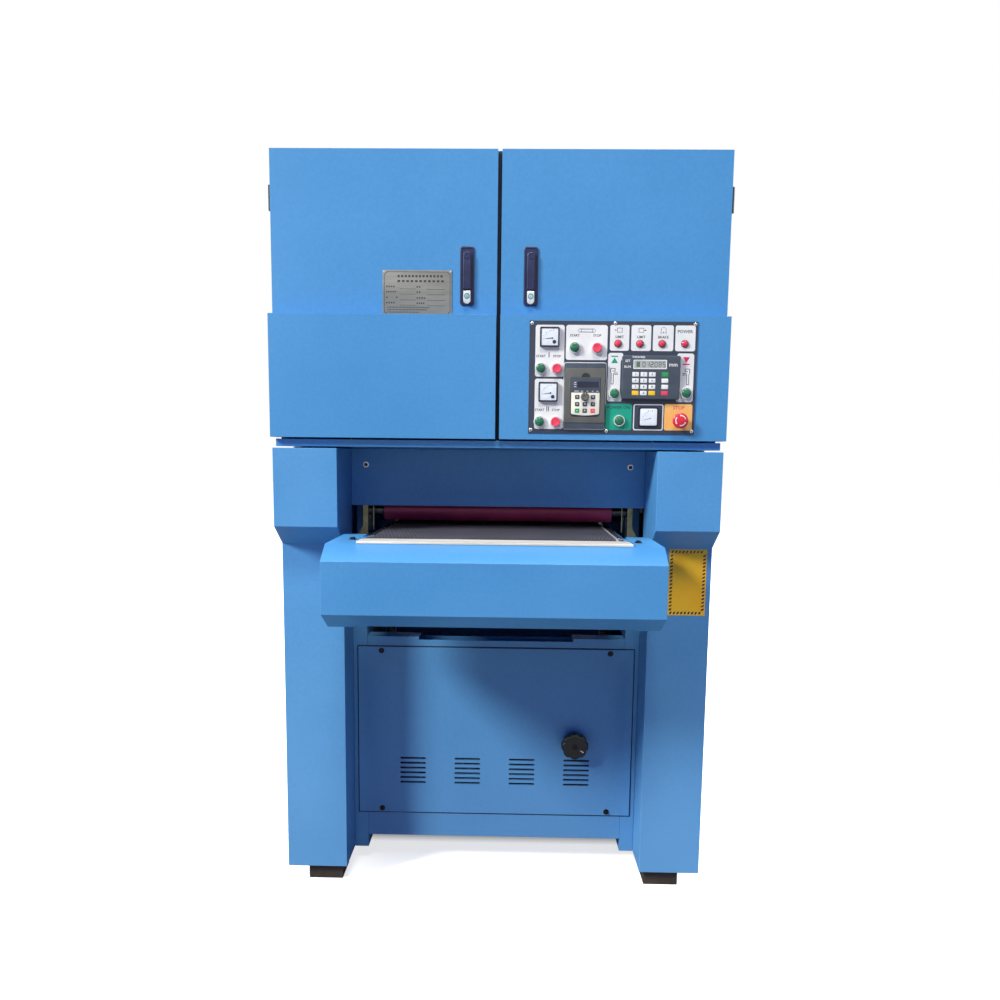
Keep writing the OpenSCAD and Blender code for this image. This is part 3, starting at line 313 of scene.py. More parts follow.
# foil sticker: strong warm yellow, a little uneven
labelYellow = surface("printedYellowLabel", "#FFB812", "#FFC92C", drift=90, grain=3, speck=0.03,
                      rough=(0.4, 0.5))
# painted shade: a dark line round each slot, that makes its shadow read wider
slotShadeRim = surface("paintedSlotShade", "#16223A", "#22314F", drift=30, grain=3, speck=0.06,
                   rough=(0.5, 0.65))
# foam rubber in the joints, also used as painted shade behind the doors' gap and round the lower panel: reads
# as a blue-black line, no shine
gasketRubberAndShade = surface("extrudedGasketRubberAndPaintedShade", "#131B31", "#1C2743", drift=30, grain=3, speck=0.06,
                       rough=(0.7, 0.8), relief=0.1)
# ribbed black belt, dull with a little dust
driveRubber = surface("ribbedDriveBeltRubber", "#1C1D1F", "#292B2E", drift=30, grain=3, speck=0.08,
                      rough=(0.6, 0.75), relief=0.1)


# rubber feed belt: staggered pads, 5 by 7 mm in truth and drawn at 9 by 26 mm, as the view along the belt
# squeezes them; a pale line is drawn along its right edge
def makeBeltMaterial():
    material, tree, shader = startMaterial("roughTopFeedBeltRubber")
    place = objectPlace(tree)
    pads = {"Scale": 1.0, "Mortar Size": 1.6 * mm, "Mortar Smooth": 0.4, "Brick Width": 9 * mm,
            "Row Height": 26 * mm}
    relief = compute(tree, "SUBTRACT", 1.0, addNode(tree, "TexBrick",
                                                    {**pads, "Vector": place}).outputs["Fac"])
    rubbed = span(tree, noise(tree, place, 140, 4.0), 0.0, 0.25, 0.45, 0.75)
    dusty = mix(tree, rubbed, mix(tree, relief, "#0D0D12", "#42414F"), "#605D68")
    edge = span(tree, parted(tree, place)[0], 0.0, 0.75, 0.2925, 0.2945)
    feed(tree, shader, {"Base Color": mix(tree, edge, dusty, "#A7A2A0"), "Roughness": 0.72,
                        "Normal": bump(tree, relief, 0.8, 0.8)})
    return material


# abrasive cloth: brown grain, 0.4 mm in truth, drawn at 3 mm so that it shows as grit from where the
# picture is taken
def makeAbrasive():
    material, tree, shader = startMaterial("coatedAbrasiveCloth")
    place = objectPlace(tree)
    grit = addNode(tree, "TexVoronoi", {"Scale": 1 / (3 * mm), "Vector": place}).outputs[0]
    tone = mix(tree, noise(tree, place, 60, 4.0), "#4C2C1A", "#7A4A2C")
    shade = mix(tree, 1.0, tone, span(tree, grit, 0.8, 1.2), "MULTIPLY")
    feed(tree, shader, {"Base Color": shade, "Roughness": 0.85, "Normal": bump(tree, grit, 0.3, 0.7)})
    return material


# thread of the lift screws: a 6 mm pitch drawn as bands, darker in the grooves as painted shade
def makeThread():
    material, tree, shader = startMaterial("rolledTrapezoidThread")
    place = objectPlace(tree)
    bands = {"wave_type": "BANDS", "bands_direction": "Z", "Scale": math.pi / (10 * 6 * mm)}
    turns = addNode(tree, "TexWave", {**bands, "Vector": place}).outputs[1]
    gloss = span(tree, noise(tree, place, 50, 3.0), 0.22, 0.42)
    feed(tree, shader, {"Base Color": mix(tree, turns, "#5A5C5E", "#A9ABAD"), "Roughness": gloss,
                        "Metallic": 1.0, "Normal": bump(tree, turns, 1.2)})
    return material


beltRubber, abrasiveCloth, threadSteel = makeBeltMaterial(), makeAbrasive(), makeThread()
print("materials made")


# joins closed loops of points into a skin, with flat ends or as a closed ring
def loft(bm, loops, ends="flat"):
    rows = [[bm.verts.new(Vector(p) * mm) for p in loop] for loop in loops]
    count = len(rows[0])
    pairs = list(zip(rows, rows[1:])) + ([(rows[-1], rows[0])] if ends == "ring" else [])
    for low, high in pairs:
        for i in range(count):
            k = (i + 1) % count
            bm.faces.new((low[i], low[k], high[k], high[i]))
    if ends == "flat":
        bm.faces.new(rows[0][::-1])
        bm.faces.new(rows[-1])


# outlines in x and z: each is a function of how far it is drawn in
def roundRect(cx, cz, w, h, r, steps=5):
    radii = r if isinstance(r, (list, tuple)) else (r, r, r, r)

    def outline(inset=0.0):
        points = []
        for (sx, sz, start), radius in zip(((1, 1, 0), (-1, 1, 90), (-1, -1, 180), (1, -1, 270)), radii):
            turn = max(radius - inset, 0.05)
            ox, oz = cx + sx * (w / 2 - inset - turn), cz + sz * (h / 2 - inset - turn)
            for i in range(steps + 1):
                a = math.radians(start + 90 * i / steps)
                points.append((ox + turn * math.cos(a), oz + turn * math.sin(a)))
        return points
    return outline


def disc(cx, cz, r, count=40):
    turns = [2 * math.pi * i / count for i in range(count)]
    return lambda inset=0.0: [(cx + (r - inset) * math.cos(a), cz + (r - inset) * math.sin(a))
                              for a in turns]


# lofts outlines in x and z, each at its own depth
def stack(bm, stations, ends="flat"):
    loft(bm, [[(x, y, z) for x, z in points] for points, y in stations], ends)


# points of a quarter dome that rises by high over a base, for a lathe
def dome(r, base, high, angles=(12, 24, 36, 48, 60, 72, 84)):
    return [(r * math.cos(math.radians(a)), base + high * math.sin(math.radians(a))) for a in angles]


# a slab facing the front, whose front edge is rounded
def slab(bm, outline, back, front, edge=0.6, steps=3):
    turns = [math.radians(90 * i / steps) for i in range(steps + 1)]
    rounded = [(outline(edge * (1 - math.cos(a))), front + edge * (1 - math.sin(a))) for a in turns]
    stack(bm, [(outline(0), back)] + rounded)


# a slab with a hole right through it
def rim(bm, outer, inner, back, front, edge=0.4):
    stack(bm, ((outer(0), back), (outer(0), front + edge), (outer(edge), front),
               (inner(-edge), front), (inner(0), front + edge), (inner(0), back)), "ring")


axes = {"x": ((0, 1, 0), (0, 0, 1), (1, 0, 0)), "front": ((1, 0, 0), (0, 0, 1), (0, -1, 0)),
        "back": ((1, 0, 0), (0, 0, 1), (0, 1, 0)), "z": ((1, 0, 0), (0, 1, 0), (0, 0, 1))}


# turns a profile of radius and distance round an axis
# ripple is a count of ribs, their depth and the radius beyond which they show
def lathe(bm, profile, start, axis, count=48, ends="flat", ripple=None):
    u, v, w = axes[axis]
    loops = []
    for radius, along in profile:
        loop = []
        for i in range(count):
            a = 2 * math.pi * i / count
            r = radius
            if ripple and radius > ripple[2]:
                r = radius - (ripple[1] * (0.5 + 0.5 * math.cos(a * ripple[0])))
            loop.append([start[k] + r * (math.cos(a) * u[k] + math.sin(a) * v[k]) + along * w[k]
                         for k in range(3)])
        loops.append(loop)
    loft(bm, loops, ends)


# profile of a rod with rounded ends of the given edge
def rod(r, a, b, edge):
    return [(r - edge, a), (r, a + edge), (r, b - edge), (r - edge, b)]


signs = [(a, b) for a in (-1, 1) for b in (-1, 1)]  # the four corners of things


# a block with chamfered edges on all sides
def block(bm, low, high, edge=0.5):
    made = bmesh.ops.create_cube(bm, size=1.0)["verts"]
    for v in made:
        v.co = Vector([(low[k] + high[k]) / 2 + v.co[k] * (high[k] - low[k]) for k in range(3)]) * mm
    if edge:
        edges = list({e for v in made for e in v.link_edges})
        bmesh.ops.bevel(bm, geom=edges, offset=edge * mm, segments=2, affect="EDGES", profile=0.5)


def piece(name, build, material, body, slot=None, replaces=(), sharp=34):
    bm = bmesh.new()
    build(bm)
    bmesh.ops.recalc_face_normals(bm, faces=bm.faces)
    mesh = bpy.data.meshes.new(name)
    bm.to_mesh(mesh)
    bm.free()
    mesh.materials.append(material)
    mesh.shade_smooth()
    mesh.set_sharp_from_angle(angle=math.radians(sharp))
    made = bpy.data.objects.new(name, mesh)
    bpy.context.scene.collection.objects.link(made)
    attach(made, body)
    if replaces:
        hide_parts(*replaces)
    return made


# thin printed shapes on a face that looks to the front
def prints(name, outlines, face, material, body, slot=None, height=0.15):
    def build(bm):
        for outline in outlines:
            points = outline(0) if callable(outline) else outline
            stack(bm, ((points, face + 0.05), (points, face - height)))
    return piece(name, build, material, body, slot)


# generic lettering, cut as a thin mesh: each entry is a text, its middle in x and z, and its height
def lettering(name, entries, face, material, body, slot=None):
    def build(bm):
        for text, x, z, size in entries:
            font = bpy.data.curves.new("lettering", "FONT")
            font.body, font.size, font.align_x, font.align_y = text, size * mm * 1.35, "CENTER", "CENTER"
            font.extrude, font.resolution_u, font.offset = 0.08 * mm, 2, 0.16 * mm
            carrier = bpy.data.objects.new("lettering", font)
            bpy.context.scene.collection.objects.link(carrier)
            shown = carrier.evaluated_get(bpy.context.evaluated_depsgraph_get())
            cut = bpy.data.meshes.new_from_object(shown)
            cut.transform(Matrix(((1, 0, 0, x * mm), (0, 0, -1, face * mm), (0, 1, 0, z * mm),
                                  (0, 0, 0, 1))))
            bm.from_mesh(cut)
            bpy.data.objects.remove(carrier)
            bpy.data.meshes.remove(cut)
    return piece(name, build, material, body, slot)


# CAD nodes: rounded edges on the real mesh, and a finish
# a zone is a test of a face's middle in mm and its direction, and the finish it has instead
def dress(name, material, edge=1.2, zones=()):
    node = nodes[name]
    mesh = node.data
    mesh.materials.clear()
    for finish in (material, *(other for inside, other in zones)):
        mesh.materials.append(finish)
    for face in mesh.polygons:
        face.material_index = 0
        spot = face.center / mm
        for index, (inside, other) in enumerate(zones, 1):
            if inside(spot, face.normal):
                face.material_index = index
    weld = node.modifiers.new("weld", "WELD")
    weld.merge_threshold = 0.01 * mm
    flat = node.modifiers.new("flat", "DECIMATE")
    flat.decimate_type, flat.angle_limit, flat.delimit = "DISSOLVE", math.radians(0.4), {"MATERIAL"}
    bevel = node.modifiers.new("edge", "BEVEL")
    bevel.width, bevel.segments = edge * mm, 2
    bevel.limit_method, bevel.angle_limit = "ANGLE", math.radians(32)
    bevel.use_clamp_overlap, bevel.harden_normals = True, False
    node.modifiers.new("shade", "WEIGHTED_NORMAL").weight = 60


# where the parts with more than one finish change it; p is a face's middle in mm and n its direction
def onDoorGapShade(p, n):  # painted shade: the strip behind the doors' gap takes the dark gasket finish, to read as the gap's shadow
    return abs(p.x) < 30.5 and 1222 < p.z < 1937 and p.y < -430


# the roof's top faces take the darker roof coat: painted shade
def onRoof(p, n):
    return n.z > 0.9 and p.z > 1900


def onKnuckle(p, n):  # the hinge knuckles on the doors are blackened
    return abs(p.x) > 575.2


def fromPulley(p):  # distance from the axis of the nearer motor, in y and z
    return math.hypot(p.y - (-82 if p.y < 83 else 248), p.z - 214)


def onDriveBelt(p, n):
    return p.x > 311 and (p.z > 300 or fromPulley(p) > 60.1)


def onMotorPulley(p, n):
    return p.x > 311 and p.z <= 300 and fromPulley(p) <= 60.1


def onLiftMotor(p, n):
    return abs(p.x) < 290 and p.z < 200 and math.hypot(p.y - 83, p.z - 142.3) > 11


def onDevices(p, n):
    return p.x < -409.4


def onFeedBed(p, n):
    return abs(p.x) < 317.8 and p.z > 974


def onSleeve(p, n):
    return abs(p.x) < 319 and abs(n.x) < 0.5


def onDrivenPulley(p, n):
    return p.x > 428


dress("cabinet_shell", coat, 1.2, [(onDoorGapShade, gasketRubberAndShade), (onRoof, shadedRoofCoat)])
dress("dust_outlets", coat)
dress("table_covers", coat, 2.0)
for name in ("left_door", "right_door"):
    dress(name, shadedDoorCoat, 1.6, [(onKnuckle, hingeSteel)])
for name in ("left_column_cover", "right_column_cover"):
    dress(name, frameCoat, 2.0)
for name in ("side_panels", "rear_covers", "lower_front_panel", "front_guard", "base_frame"):
    dress(name, frameCoat, 1.0)
dress("feet", footSteel, 1.0)
dress("door_hinges", hingeSteel, 0.5)
dress("head_frame", motorPaint, 1.5)
dress("roller_brackets", yellowZinc, 0.8)
dress("head_motors", motorPaint, 0.8, [(onDriveBelt, driveRubber), (onMotorPulley, gearSteel)])
dress("lift_drive", gearSteel, 1.0, [(onLiftMotor, motorPaint)])
dress("electrical_gear", galvanised, 0.8, [(onDevices, devicePlastic)])
dress("control_plate", printBlack, 0.4)
dress("table_frame", frameCoat, 1.2, [(onFeedBed, rollerSteel)])
dress("feed_gearmotor", motorPaint, 1.5)
for name in ("contact_roller_1", "contact_roller_2"):
    dress(name, rollerSteel, 1.0, [(onSleeve, contactRubber), (onDrivenPulley, gearSteel)])
for name in ("tension_roller_1", "tension_roller_2", "front_feed_roller", "rear_feed_roller"):
    dress(name, rollerSteel, 1.0)
for name in ("left_lift_screw", "right_lift_screw"):
    dress(name, threadSteel, 0.8)
print("frame dressed")

# latches: a tray with a proud lever and a push tab below it
latch = {"x": 80, "z": 1631, "w": 36, "h": 144, "r": 8, "back": -465.3, "front": -468.3, "trayDepth": 1.4,
         "leverW": 20, "leverLow": 1597, "leverHigh": 1689, "leverBack": -468.6, "leverFront": -477.6,
         "spindleZ": 1679, "tabW": 18, "tabLow": 1562, "tabHigh": 1594, "tabBack": -471.6,
         "tabFront": -477.1, "keyZ": 1581, "gripX": 7.2, "spindleR": 6, "spindle": 47.3, "catchX": (-46, 9),
         "catchY": (-431.5, -427.5), "catchHalf": 9, "pinR": 4, "pin": 18, "pinY": -471.0, "pinZ": 1578,
         "keyRing": (7.2, 4.4), "keyR": 4.3, "keySlot": (1.1, 5.4)}


def makeLatch(side, sign):
    k = latch
    x, door, key = sign * k["x"], side + "_door", side + "_latch_key"
    mid, tall = (k["leverLow"] + k["leverHigh"]) / 2, k["leverHigh"] - k["leverLow"]
    catch = sorted(x + sign * away for away in k["catchX"])
    front = k["leverFront"]

    def tray(bm):
        outer = roundRect(x, k["z"], k["w"], k["h"], k["r"])
        inner = roundRect(x, k["z"], k["w"] - 9, k["h"] - 9, 4)
        stack(bm, ((outer(0), k["back"]), (outer(0), k["front"] + 0.8), (outer(0.3), k["front"] + 0.3),
                   (outer(0.9), k["front"]), (inner(-0.5), k["front"]), (inner(0), k["front"] + 0.4),
                   (inner(0.4), k["front"] + k["trayDepth"])))

    def lever(bm):
        slab(bm, roundRect(x, mid, k["leverW"], tall, (8, 8, 3, 3)), k["leverBack"], front + 1.2, 2.4, 5)
        for offset in (-k["gripX"], k["gripX"]):  # raised rim lines along the grip
            slab(bm, roundRect(x + offset, mid - 3, 1.5, tall - 18, 0.7), front + 2.6, front + 0.4, 0.4)
        boss = [(8.6, 0), (8.6, 2.2), (7.4, 3.4), (5.6, 3.4), (5.0, 2.8)]
        lathe(bm, boss, (x, front + 3.4, k["spindleZ"]), "front", 40)
        lathe(bm, rod(k["spindleR"], 0, k["spindle"], 0.4), (x, front + 4, k["spindleZ"]), "back", 32)
        low, high = k["spindleZ"] - k["catchHalf"], k["spindleZ"] + k["catchHalf"]
        block(bm, (catch[0], k["catchY"][0], low), (catch[1], k["catchY"][1], high), 0.6)

    def tab(bm):
        outline = roundRect(x, (k["tabLow"] + k["tabHigh"]) / 2, k["tabW"], k["tabHigh"] - k["tabLow"],
                            (1.2, 1.2, 8.9, 8.9), 8)
        slab(bm, outline, k["tabBack"], k["tabFront"], 1.1, 4)
        lathe(bm, rod(k["pinR"], 0, k["pin"], 0.4), (x, k["pinY"], k["pinZ"]), "back", 24)

    def ring(bm):
        outer, inner = (disc(x, k["keyZ"], r) for r in k["keyRing"])
        rim(bm, outer, inner, k["tabFront"] + 0.3, front, 0.2)

    def plug(bm):
        slab(bm, disc(x, k["keyZ"], k["keyR"]), k["tabFront"] + 0.2, front + 0.2, 0.2)

    piece(side + "LatchTray", tray, latchCoat, door, "latch_coat", [side + "_latch_housing"])
    piece(side + "LatchLever", lever, latchCoat, side + "_latch", "latch_coat", [side + "_latch_lever"])
    piece(side + "LatchTab", tab, latchMetal, key, "latch_metal", [side + "_latch_button"])
    piece(side + "LatchKeyRing", ring, keyRing, key)
    piece(side + "LatchKeyPlug", plug, zincSteel, key)
    # the keyhole is a thin dark print on the plug: painted shade
    slot = roundRect(x, k["keyZ"], *k["keySlot"], 0.4)
    prints(side + "LatchKeySlotShade", [slot], front + 0.2, printInk, key, height=0.1)


makeLatch("left", -1)
makeLatch("right", 1)

# rating plate: etched blank with ruled rows, riveted at its corners
ratingPlate = {"x": -206, "z": 1588.2, "w": 175, "h": 113.6, "back": -465.3, "front": -466.6,
               "strokes": ((38, 160, 15, 5.5, 9), (38, 160, 27, 5, 11), (9, 34, 40, 3.6, 6),
                           (86, 100, 41, 3.6, 6), (9, 38, 53, 3.6, 5.4), (86, 102, 54, 3.6, 6),
                           (9, 16, 67, 3.6, 6), (34, 40, 67, 3.6, 6), (86, 112, 68, 3.6, 6),
                           (9, 34, 80, 3.6, 6), (86, 112, 81, 3.6, 5.4), (12, 120, 91, 2.2, 3.6),
                           (12, 116, 97, 2.2, 3.6), (12, 98, 103, 2.2, 3.6)),
               "rules": ((44, 84, 46), (112, 158, 47), (44, 84, 59), (112, 158, 60), (44, 84, 73),
                         (114, 158, 74), (44, 84, 86), (114, 158, 87))}
# grained foil, bright where the light grazes it
etched = surface("etchedAluminiumPlate", "#767775", "#929290", drift=55, grain=3, speck=0.05,
                 rough=(0.32, 0.46), relief=0.02, stretch=(0.15, 1, 1.5), metal=0.55)
# etched strokes filled with dark ink
etchedInk = surface("etchedPlateInk", "#232527", "#303234", drift=30, grain=2, speck=0.05,
                    rough=(0.45, 0.6))


def makeRatingPlate():
    k = ratingPlate
    left, top = k["x"] - k["w"] / 2, k["z"] + k["h"] / 2
    y0, y1 = k["front"] + 0.05, k["front"] - 0.12

    def sheet(bm):
        slab(bm, roundRect(k["x"], k["z"], k["w"], k["h"], 3), k["back"], k["front"], 0.3)

    def border(inset):  # the border line has clipped corners
        w, h, clip = k["w"] / 2 - inset, k["h"] / 2 - inset, 7
        corners = ((w, h - clip), (w - clip, h), (clip - w, h), (-w, h - clip),
                   (-w, clip - h), (clip - w, -h), (w - clip, -h), (w, clip - h))
        return [(k["x"] + a, k["z"] + b) for a, b in corners]

    def lines(bm):
        outer, inner = border(4), border(5.1)
        stack(bm, ((outer, y0), (outer, y1), (inner, y1), (inner, y0)), "ring")
        for x0, x1, drop, tall, pitch in k["strokes"]:  # rows of short strokes, in place of words
            for i in range(int((x1 - x0) / pitch)):
                x = left + x0 + i * pitch
                block(bm, (x, y1, top - drop - tall / 2), (x + pitch * 0.6, y0, top - drop + tall / 2), 0)
        for x0, x1, drop in k["rules"]:
            block(bm, (left + x0, y1, top - drop - 0.4), (left + x1, y0, top - drop + 0.4), 0)

    def rivets(bm):
        head = [(2.2, 0), (2.2, 0.05), (1.5, 0.18), (0.6, 0.2)]
        for sx, sz in signs:
            place = (k["x"] + sx * (k["w"] / 2 - 3.2), k["front"], k["z"] + sz * (k["h"] / 2 - 3.2))
            lathe(bm, head, place, "front", 20)
    piece("ratingPlate", sheet, etched, "left_door", "etched_plate", ["name_plate"])
    piece("ratingPlateRules", lines, etchedInk, "left_door", "etched_plate")
    piece("ratingPlateRivets", rivets, zincSteel, "left_door", "etched_plate")


makeRatingPlate()
print("door fittings made")

# control plate: places are shares of its width from the left and of its height from the top
plate = {"x": 78, "top": 1517, "w": 415, "h": 275, "face": -514.3}


def onPlate(share):
    return plate["x"] + share[0] * plate["w"], plate["top"] - share[1] * plate["h"]


def onPlateWords(entries):
    return [(text, *onPlate(share), size) for text, share, size in entries]


def field(x0, y0, x1, y1, r=6):
    (a, b), (c, d) = onPlate((x0, y0)), onPlate((x1, y1))
    return roundRect((a + c) / 2, (b + d) / 2, c - a, b - d, r)


def makePrints():
    face = plate["face"]
    ink = face - 0.15

    def printed(name, outlines, material, y=ink, height=0.1):
        prints(name, outlines, y, material, "right_door", "black_plate", height)

    whites = [field(0.036, 0.036, 0.209, 0.494), field(0.036, 0.512, 0.208, 0.962),
              field(0.218, 0.035, 0.465, 0.343)]
    whites += [field(a, 0.033, b, 0.259, 5) for a, b in ((0.480, 0.594), (0.606, 0.724), (0.735, 0.857),
                                                         (0.868, 0.987))]
    for a, c, s in ((0.472, 0.552, 1), (0.893, 0.984, -1)):
        (x0, z0), (x1, z1) = onPlate((a, 0.278)), onPlate((c, 0.709))
        # the side fields follow the rounded corners of the read-out between them
        inner, outer = (x1, x0) if s > 0 else (x0, x1)
        shape = [(outer + s * 4, z1), (outer, z1 + 4), (outer, z0 - 4), (outer + s * 4, z0)]
        shape += [(inner + s * 1, z0), (inner + s * 4, z0 - 4), (inner + s * 2, z0 - 14),
                  (inner - s * 2, z0 - 20)]
        shape += [(inner - s * 2, z1 + 22), (inner + s * 1, z1 + 14), (inner + s * 4, z1 + 5),
                  (inner + s * 1, z1)]
        whites.append(shape if s < 0 else shape[::-1])
    printed("plateWhiteFields", whites, printWhite, face, 0.15)
    printed("platePowerField", [field(0.462, 0.729, 0.622, 0.966, 5)], printTeal, face, 0.15)
    printed("plateStopField", [field(0.818, 0.728, 0.985, 0.964, 5)], printOrange, face, 0.15)

    def outlines(bm):  # white outlines round the drive and the voltmeter
        for (a, b), (c, d), r in (((0.207, 0.363), (0.465, 0.965), 7), ((0.632, 0.731), (0.812, 0.966), 5)):
            inner = field(a + 0.006, b + 0.009, c - 0.006, d - 0.009, r - 2)
            rim(bm, field(a, b, c, d, r), inner, face + 0.05, face - 0.15, 0.02)
    piece("plateWhiteOutlines", outlines, printWhite, "right_door", "black_plate")

    marks = []

    def bars(x, z, entries, r=0.3):  # small bars, each with an offset and a size
        marks.extend(roundRect(x + a, z + b, w, h, r) for a, b, w, h in entries)

    x, z = onPlate((0.341, 0.084))  # the feed belt over its two rollers
    bars(x, z, ((0, 3.6, 38, 1.4), (0, -3.6, 38, 1.4)), 0.4)
    for s in (-1, 1):
        bars(x, z, ((s * 21.22, 0, 0.9, 5.4), (s * 13.68, 0, 0.9, 7)), 0.4)
    for share, s in ((0.537, -1), (0.665, 1)):  # a panel against a limit on its left or right
        x, z = onPlate((share, 0.078))
        bars(x, z, ((0, 5, 12, 1), (0, -5, 12, 1), (-6, 0, 1, 11), (6, 0, 1, 11), (s * 9, 0, 6, 1)))
        marks.append([(x + s * 13, z), (x + s * 9.5, z + 2), (x + s * 9.5, z - 2)][::s])
    x, z = onPlate((0.797, 0.078))  # the brake
    bars(x, z, ((0, 6.5, 9, 1), (-6, 1, 1, 9), (6, 1, 1, 9)))
    marks.append(roundRect(x, z - 5, 3, 3, 1))
    bars(x, z, ((-6, -6, 3, 2), (6, -6, 3, 2)), 0.6)
    for share, s in ((0.507, 1), (0.942, -1)):  # adjustable spanner beside each table button
        x, z = onPlate((share, 0.47))
        bars(x, z, ((-s * 6, -10, 1.5, 26), (-s * 0.5, -10, 1.5, 26), (-s * 3.2, -23, 6, 1.5),
                    (-s * 7.5, 9, 1.5, 12), (-s * 2, 15, 11, 1.5), (s * 3.6, 12, 1.5, 6),
                    (s * 0.5, 8.5, 7, 1.5), (s * 5, 4, 10, 1.5), (s * 6, 0.5, 9, 1.5)))
    printed("plateInkMarks", marks, printInk)
    x, z = onPlate((0.511, 0.345))
    arrow = [(x, z + 7), (x - 8.5, z - 6.5), (x + 8.5, z - 6.5)]
    printed("plateUpMark", [roundRect(x, z + 10, 17, 3, 0.5), arrow], printTeal)
    x, z = onPlate((0.938, 0.345))
    arrow = [(x, z - 5), (x + 8.5, z + 9.5), (x - 8.5, z + 9.5)]
    printed("plateDownMark", [roundRect(x, z - 8, 17, 3, 0.5), arrow], printRed)

    words = [("START", (0.070, 0.313), 6), ("START", (0.067, 0.792), 6), ("START", (0.270, 0.128), 6),
             ("STOP", (0.166, 0.313), 6), ("STOP", (0.164, 0.792), 6), ("STOP", (0.403, 0.128), 6),
             ("I", (0.118, 0.303), 13), ("II", (0.116, 0.783), 13), ("POWER", (0.925, 0.088), 8),
             ("LIMIT", (0.537, 0.138), 6.5), ("LIMIT", (0.665, 0.138), 6.5), ("BRAKE", (0.796, 0.138), 6.5)]
    for name, entries, material in (("plateLettering", words, printInk),
                                    ("platePowerLettering", [("POWER ON", (0.542, 0.765), 8)], printInk),
                                    ("plateStopLettering", [("STOP", (0.903, 0.762), 9)], printRed)):
        lettering(name, onPlateWords(entries), ink, material, "right_door", "black_plate")


makePrints()

# push buttons: a moulded cap in a ring, pressed 4 mm
button = {"r": 11, "back": -519.3, "front": -526.3, "stemR": 6, "stem": 35, "ringFront": -521.3,
          "ringIn": 11.3, "ringOut": 14.5}
buttons = {"head_1_start": ((0.070, 0.420), "green"), "head_1_stop": ((0.166, 0.423), "red"),
           "head_2_start": ((0.067, 0.897), "green"), "head_2_stop": ((0.164, 0.898), "red"),
           "feed_start": ((0.270, 0.234), "green"), "feed_stop": ((0.403, 0.238), "red"),
           "table_up": ((0.514, 0.639), "green"), "table_down": ((0.943, 0.630), "green"),
           "power_button": ((0.547, 0.882), "green")}


def makeButtons():
    k = button
    deep, r = k["back"] - k["front"], k["r"]
    side = [(1, 0), (r - 0.3, 0), (r, 0.4)]
    shapes = {"green": side + [(r, deep * 0.42)] + dome(r, deep * 0.42, deep * 0.58),
              "red": side + [(r, deep - 1.0), (r - 0.3, deep - 0.3), (r - 1, deep), (r - 2.2, deep),
                             (r - 3.0, deep - 0.4), (2, deep - 0.5)]}
    finishes = {"green": capGreen, "red": capRed}
    rings = {"pale": [], "chrome": []}
    for name, (share, colour) in buttons.items():
        x, z = onPlate(share)
        rings["chrome" if name == "power_button" else "pale"].append((x, z))
        first, *others = name.split("_")
        camel = first + "".join(word.capitalize() for word in others)
        start = (x, k["back"], z)

        def cap(bm):
            lathe(bm, shapes[colour], start, "front")

        def stem(bm):
            lathe(bm, rod(k["stemR"], -0.2, k["stem"], 0.4), start, "back", 28)
        piece(camel + "Cap", cap, finishes[colour], name, "button_" + colour, [name])
        piece(camel + "Stem", stem, stemBlack, name)

    top = plate["face"] - k["ringFront"]
    collar = [(k["ringOut"], 0.3), (k["ringOut"], top - 1.6), (k["ringOut"] - 0.4, top - 0.6),
              (k["ringOut"] - 1.2, top), (k["ringIn"] + 0.5, top), (k["ringIn"], top - 0.5),
              (k["ringIn"], 0.3)]

    def ringSet(spots):
        return lambda bm: [lathe(bm, collar, (x, plate["face"], z), "front", 56, "ring") for x, z in spots]
    piece("buttonRings", ringSet(rings["pale"]), paleRing, "right_door", "bright_chrome",
          ["panel_metalware"])
    piece("powerButtonRing", ringSet(rings["chrome"]), chrome, "right_door", "bright_chrome")


makeButtons()

# domed slotted screws of the plate
plateScrews = {"shares": ((0.015, 0.024), (0.509, 0.020), (0.985, 0.024), (0.015, 0.970), (0.472, 0.975),
                          (0.985, 0.972)), "r": 4.5, "t": 2.5}


def makePlateScrews():
    k = plateScrews
    face = plate["face"]
    spots = [onPlate(share) for share in k["shares"]]

    def domes(bm):
        for x, z in spots:
            lathe(bm, [(k["r"], 0.3)] + dome(k["r"], 0.6, k["t"] - 0.65, (0, 20, 40, 60, 80)), (x, face, z),
                  "front", 28)

    # the cross slots are drawn as dark crosses on the domes: painted shade in the recesses
    def slots(bm):
        for x, z in spots:
            for w, h in ((4.4, 1.0), (1.0, 4.4)):
                slab(bm, roundRect(x, z, w, h, 0.3), face - k["t"] + 0.9, face - k["t"], 0.1, 1)
    piece("plateScrewDomes", domes, chrome, "right_door", "bright_chrome")
    piece("plateScrewSlotShade", slots, blackOxide, "right_door", "bright_chrome")


makePlateScrews()

# emergency stop: ribbed mushroom with an arrow ring
stopButton = {"share": (0.908, 0.878), "r": 19.5, "stand": 16, "t": 9, "dome": 5, "stemR": 6, "stem": 30,
              "arrow": (11.2, 13.6)}


